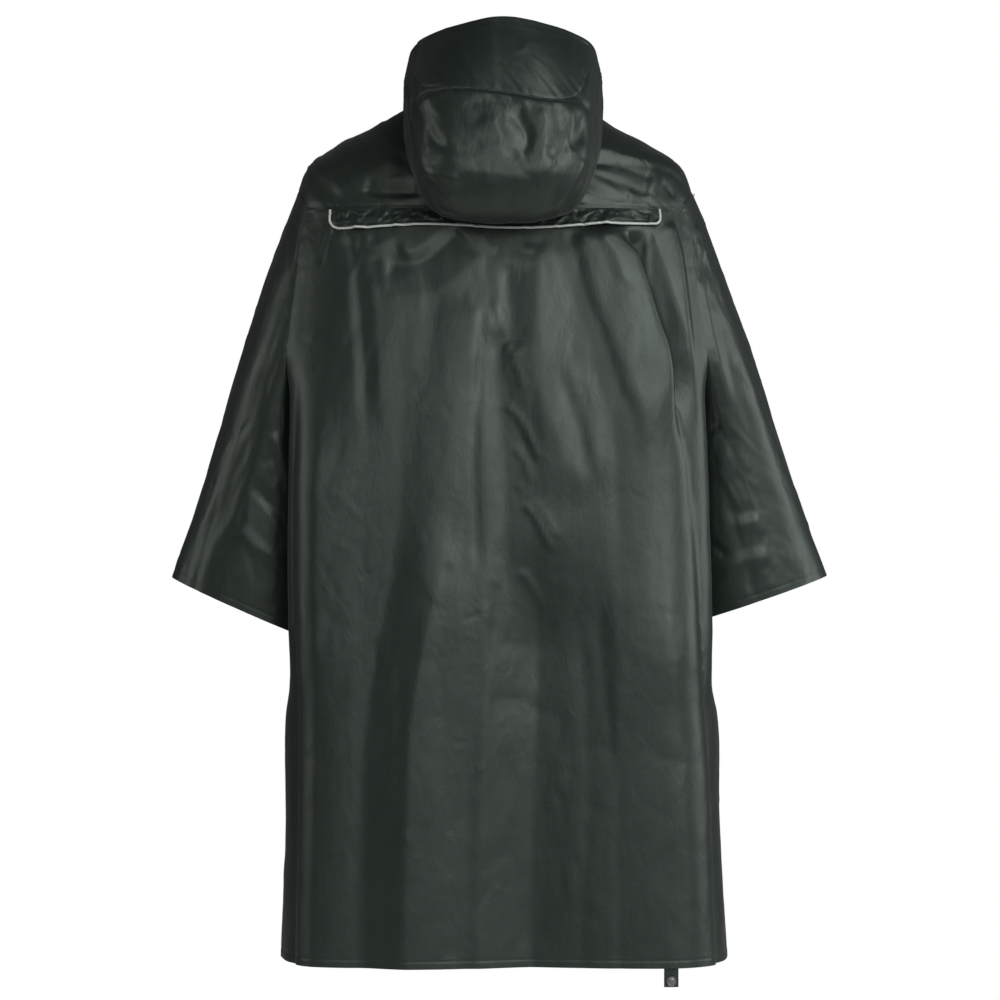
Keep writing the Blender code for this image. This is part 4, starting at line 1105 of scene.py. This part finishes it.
lift -= groove(edge_far, BRIM_STITCH, 0.0007, 0.0010)
away = outwards(brim, ring=True) * (1.0, 1.0, 0.2)  # the folds stand out without raising the edge
brim_points = brim - away * (lift * ring_ends(brim_run))[..., None]
brim_points[..., 2] -= 0.0022 * np.clip(past_seam, 0, 1) * outer
cloth("hood_brim_cloth", brim_points, smooth_shell, ring=True, flip=True)

# %% [markdown]
# ## Vent flap and piping
# The flap is sewn into the yoke seam and hangs over the back, with round lower corners.  It
# lies a few millimetres off the back, so its lower edge throws a shadow.  A reflective cord is
# sewn round its edge: a curve with a round bevel, which follows the flap's own last points.

# %% Flap
FLAP_LEFT, FLAP_RIGHT, FLAP_HEIGHT = 0.207, -0.206, 0.0225
FLAP_CORNER, FLAP_FULLNESS = 0.010, 0.9
FLAP_ROWS, FLAP_COLUMNS = 18, 220
flap_drop = np.linspace(0, 1, FLAP_ROWS + 1)[:, None]
flap_far = (1 - flap_drop) * FLAP_HEIGHT
flap_z = YOKE_Z - 0.0008 - FLAP_HEIGHT * flap_drop
bite = np.maximum(0.0, 1 - flap_far / FLAP_CORNER)
inset = FLAP_CORNER * FLAP_FULLNESS * (1 - np.sqrt(1 - bite**2))
flap_share = np.linspace(0, 1, FLAP_COLUMNS + 1)[None, :]
flap_x = FLAP_RIGHT + inset + (FLAP_LEFT - FLAP_RIGHT - 2 * inset) * flap_share
SWAY = ((-210, -2), (-165, -3), (-25, 3), (80, -2), (180, 2), (210, 1))  # its edge hangs in a slow wave
sway = along([x * MM for x, _ in SWAY], [lower * MM for _, lower in SWAY], flap_x)
flap_zz = flap_z - sway * flap_drop
flap = body_points(flap_zz, np.sign(flap_x) * angle_where(flap_zz, np.abs(flap_x), 0))
bump = np.zeros(flap_x.shape[1])  # the highest that the back's folds reach under each column
for r in np.flatnonzero(back_z > YOKE_Z - FLAP_HEIGHT - 0.012):
    bump = np.maximum(bump, np.interp(flap_x[0], back[r, :, 0], back_lift[r]))
reach = 8  # columns on each side that the height is evened out over
level = np.ones(2 * reach + 1) / (2 * reach + 1)
bump = np.convolve(np.pad(bump, reach, mode="edge"), level, mode="valid")
lift = 0.0022 + (0.0030 + bump[None, :] * 1.15) * flap_drop
lift = lift + 0.0011 * grain(flap_x / 0.055, 0.5, 131) * flap_drop
print("flap stands off by up to", round(float(lift.max()), 4), "m")
slant = creases(flap_x, flap_zz, 132, 150, 0.020, 0.006, 0.0020, lean=1.0)
lift += slant * fade(flap_drop, 0.0, 0.35)
lift -= groove(flap_far, SEAM_STITCH, 0.0005, 0.0009)
flap_points = flap + outwards(flap) * lift[..., None]
cloth("back_flap_cloth", flap_points, smooth_shell)


# %% Piping
PIPING_RADIUS = 0.0016


def cord(name, path):
    """A round reflective cord along a path, turned into a mesh."""
    bpy.ops.curve.primitive_nurbs_path_add()
    piece = bpy.context.object
    piece.name = piece.data.name = name
    curve = piece.data
    curve.splines.clear()
    spline = curve.splines.new("POLY")
    spline.points.add(len(path) - 1)
    spline.points.foreach_set("co", np.hstack([path, np.ones((len(path), 1))]).ravel())
    curve.bevel_depth = PIPING_RADIUS
    curve.bevel_resolution = 3
    curve.use_fill_caps = True
    bpy.ops.object.convert(target="MESH")
    piece = bpy.context.object
    piece.data.materials.clear()
    piece.data.materials.append(reflective)
    print(f"{name}: {len(piece.data.polygons)} faces, {run_along(path)[-1]:.3f} m long")
    return piece


edge = np.concatenate([flap_points[:-1, -1], flap_points[-1][::-1], flap_points[::-1][1:, 0]])
tangent = np.gradient(edge, axis=0)
outward = np.cross(tangent, (0.0, 1.0, 0.0))
outward /= np.linalg.norm(outward, axis=1, keepdims=True)
back_piping = cord("back_piping_cord", (edge + outward * PIPING_RADIUS)[1:-1])

piping_z = YOKE_Z - 0.0012
strip_z = piping_z + np.array([0.004, 0.0, -0.004])[:, None]
turns = -seam_turn(np.array([piping_z]))[0] * np.linspace(0, 1, 25)[None, :-1]
seam_x = float(column(SLEEVE, "seam_x", [piping_z])[0])
front_x = -seam_x + 1.8 * seam_x * np.linspace(0, 1, 81)[None, :]
front_angle = math.pi - np.sign(front_x) * angle_where(np.full(front_x.shape, piping_z), np.abs(front_x), 0)
strip = np.concatenate([sleeve_points(strip_z, turns, -1), body_points(strip_z, front_angle)], axis=1)
front_path = strip[1] - normals_of(strip)[1] * (PIPING_RADIUS + 0.0006)
front_piping = cord("front_piping_cord", front_path)

# %% [markdown]
# ## Hem tab and snap
# A short double tab is sewn inside the back hem and hangs below it, with one half of a
# press stud at its end.  The tab is a box with its edges rounded and a shallow channel where it
# is sewn.  The cap is a disc whose face is inset several times: rim, groove and low dome.

# %% Hem tab
TAB_X, TAB_WIDTH, TAB_LENGTH, TAB_HANGS, TAB_THICKNESS = -0.215, 0.018, 0.043, 0.023, 0.0016
hem_row = back_points[-1]
i = int(np.abs(hem_row[:, 0] - TAB_X).argmin())
facet = hem_row[i + 4] - hem_row[i - 4]
facet /= np.linalg.norm(facet)
facing = Vector((-facet[1], facet[0], 0.0))
tab_turn = -math.atan2(facing.x, facing.y)
tab_place = Vector(hem_row[i]) - facing * (WALL + TAB_THICKNESS / 2 + 0.0034)
tab_place.z = HEM_Z - TAB_HANGS + TAB_LENGTH / 2


def rounded(piece, width, degrees, place, turns, material):
    """Rounds a small piece's edges, puts it in its place and gives it its finish."""
    bevel = piece.modifiers.new("Rounding", "BEVEL")
    bevel.width = width
    bevel.segments = 2
    bevel.angle_limit = math.radians(degrees)
    bpy.ops.object.modifier_apply(modifier=bevel.name)
    bpy.ops.object.shade_smooth_by_angle(angle=math.radians(degrees))
    piece.location = place
    piece.rotation_euler = turns
    bpy.ops.object.transform_apply(location=True, rotation=True, scale=True)
    piece.data.materials.append(material)


bpy.ops.mesh.primitive_cube_add(size=1)
tab = bpy.context.object
tab.name = tab.data.name = "hem_tab_cloth"
tab.scale = (TAB_WIDTH, TAB_THICKNESS, TAB_LENGTH)
bpy.ops.object.transform_apply(location=False, rotation=False, scale=True)
bpy.ops.object.mode_set(mode="EDIT")
bpy.ops.mesh.select_all(action="SELECT")
bpy.ops.mesh.subdivide(number_cuts=17)
bpy.ops.object.mode_set(mode="OBJECT")
for vert in tab.data.vertices:
    inside = min(TAB_WIDTH / 2 - abs(vert.co.x), TAB_LENGTH / 2 - abs(vert.co.z))
    puff = 0.0002 * min(inside / 0.004, 1.0) - groove(inside, 0.0020, 0.0002, 0.0008)
    if abs(vert.co.y) > 0.0007:  # only the two broad faces
        vert.co.y += math.copysign(puff, vert.co.y)
    vert.co.y += 0.0006 * math.sin(vert.co.z * 120)
rounded(tab, 0.0004, 50, tab_place, (0, 0, tab_turn), smooth_shell)
print("tab's lowest point:", round(min(v.co.z for v in tab.data.vertices), 4))

# %% Snap
SNAP_RADIUS, SNAP_HEIGHT = 0.006, 0.0022
STEPS = (  # width and rise of each step of the cap's face, from its rim to its dome
    (0.0007, 0.0), (0.0004, -0.0005), (0.0005, 0.0001),
    (0.0006, 0.0005), (0.0015, 0.0003), (0.0013, 0.0001),
)
snap_place = tab_place + facing * (TAB_THICKNESS / 2 + SNAP_HEIGHT / 2 + 0.0004)
snap_place.z = HEM_Z - TAB_HANGS + SNAP_RADIUS + 0.0015
bpy.ops.mesh.primitive_cylinder_add(vertices=40, radius=SNAP_RADIUS, depth=SNAP_HEIGHT)
snap = bpy.context.object
snap.name = snap.data.name = "hem_snap_cap"
bpy.ops.object.mode_set(mode="EDIT")
bpy.ops.mesh.select_all(action="DESELECT")
shape = bmesh.from_edit_mesh(snap.data)
for face in shape.faces:
    face.select_set(face.normal.z > 0.9)
bmesh.update_edit_mesh(snap.data)
for width, rise in STEPS:
    bpy.ops.mesh.inset(thickness=width, depth=rise)
bpy.ops.object.mode_set(mode="OBJECT")
rounded(snap, 0.0003, 40, snap_place, (-math.pi / 2, 0, tab_turn), cap_metal)
print("snap:", len(snap.data.polygons), "faces")

# %% [markdown]
# ## Stitches
# Every hem and topstitched seam is a row of short thread loops that lie in a shallow channel.
# One stitch is modelled as a small pointed bead, and a copy of it is laid at each pitch along
# the cloth's own points, turned to the cloth.  One mesh for each row keeps the scene light.

# %% Stitch rows
PITCH = 0.0036
STITCH = (0.00026, 0.0013, 0.00020)  # half a stitch's width, length and height
bpy.ops.mesh.primitive_uv_sphere_add(segments=6, ring_count=4, radius=1)
bead = bpy.context.object
bead_points = np.array([v.co for v in bead.data.vertices]) * STITCH
bead_faces = [tuple(f.vertices) for f in bead.data.polygons]
bpy.data.objects.remove(bead)


def unit(vectors):
    """The same directions with length 1."""
    return vectors / np.linalg.norm(vectors, axis=1, keepdims=True)


def stitches(name, points, far, wanted, facing=1):
    """Copies of the stitch along the row of a grid that lies nearest to a distance from its edge."""
    r = int(np.abs(far.mean(axis=1) - wanted).argmin())
    path, normal = points[r], outwards(points)[r] * facing
    lengths = run_along(path)
    places = np.arange(PITCH, lengths[-1] - PITCH / 2, PITCH)
    spots, up = (
        np.stack([np.interp(places, lengths, line[:, axis]) for axis in range(3)], axis=1)
        for line in (path, normal)
    )
    ahead = unit(np.gradient(spots, axis=0))
    up = unit(up - ahead * (up * ahead).sum(axis=1, keepdims=True))
    turned = bead_points @ np.stack([np.cross(ahead, up), ahead, up], axis=1)
    placed = (spots + up * 0.0001)[:, None] + turned
    count = len(bead_points)
    faces = [tuple(k * count + v for v in face) for k in range(len(spots)) for face in bead_faces]
    mesh = bpy.data.meshes.new(name)
    mesh.from_pydata(placed.reshape(-1, 3).tolist(), [], faces)
    mesh.shade_smooth()
    mesh.materials.append(thread)
    row = bpy.data.objects.new(name, mesh)
    bpy.context.collection.objects.link(row)
    print(f"{name}: {len(spots)} stitches")
    return row


# %% Sew the hems and seams
rows = {
    "back_panel": stitches("hem_stitches_back", back_points, hem_far, HEM_STITCH),
    "front_panel": stitches("hem_stitches_front", front_points, hem_far, HEM_STITCH),
}
for (word, part), (points, facing) in sleeve_cloth.items():
    drop = cloth_lengths(points)[1]
    name = f"cuff_stitches_{word}_{part}"
    rows[f"sleeve_{word}_{part}"] = stitches(name, points, drop[-1] - drop, HEM_STITCH, facing)
rows["yoke"] = stitches("yoke_stitches", yoke_points, foot_far, SEAM_STITCH)
rows["hood_brim"] = stitches("brim_stitches", brim_points, edge_far, BRIM_STITCH, -1)
rows["hood_bag"] = stitches("bag_stitches", bag_points, seam_far, SEAM_STITCH, -1)
rows["back_flap"] = stitches("flap_stitches", flap_points, flap_far, SEAM_STITCH)

# %% [markdown]
# ## What each piece is
# Each piece rides on the one body and stands for its solid, which is hidden.
# The size each cut of cloth was cut to was measured on its grid when the cloth was made.

# %% Attach to the body
HANGS_FROM = {
    "yoke": [], "back_panel": ["yoke"], "front_panel": ["yoke"], "back_flap": ["yoke"],
    "sleeve_left_outer": ["yoke"], "sleeve_right_outer": ["yoke"],
    "sleeve_left_under": ["sleeve_left_outer"], "sleeve_right_under": ["sleeve_right_outer"],
    "hood_bag": ["yoke"], "hood_brim": ["hood_bag"],
}
for node, holders in HANGS_FROM.items():
    piece = bpy.data.objects[node + "_cloth"]
    width, length, area = cut[piece.name]
    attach(piece, "root")
    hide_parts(node)
for piece, node, slot in ((back_piping, "back_piping", "piping"), (front_piping, "front_piping", "piping"),
                          (tab, "hem_tab", "shell"), (snap, "hem_snap", "snap")):
    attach(piece, "root")
    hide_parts(node)
for row in rows.values():
    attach(row, "root")
print("pieces declared:", len(HANGS_FROM) + 4 + len(rows))
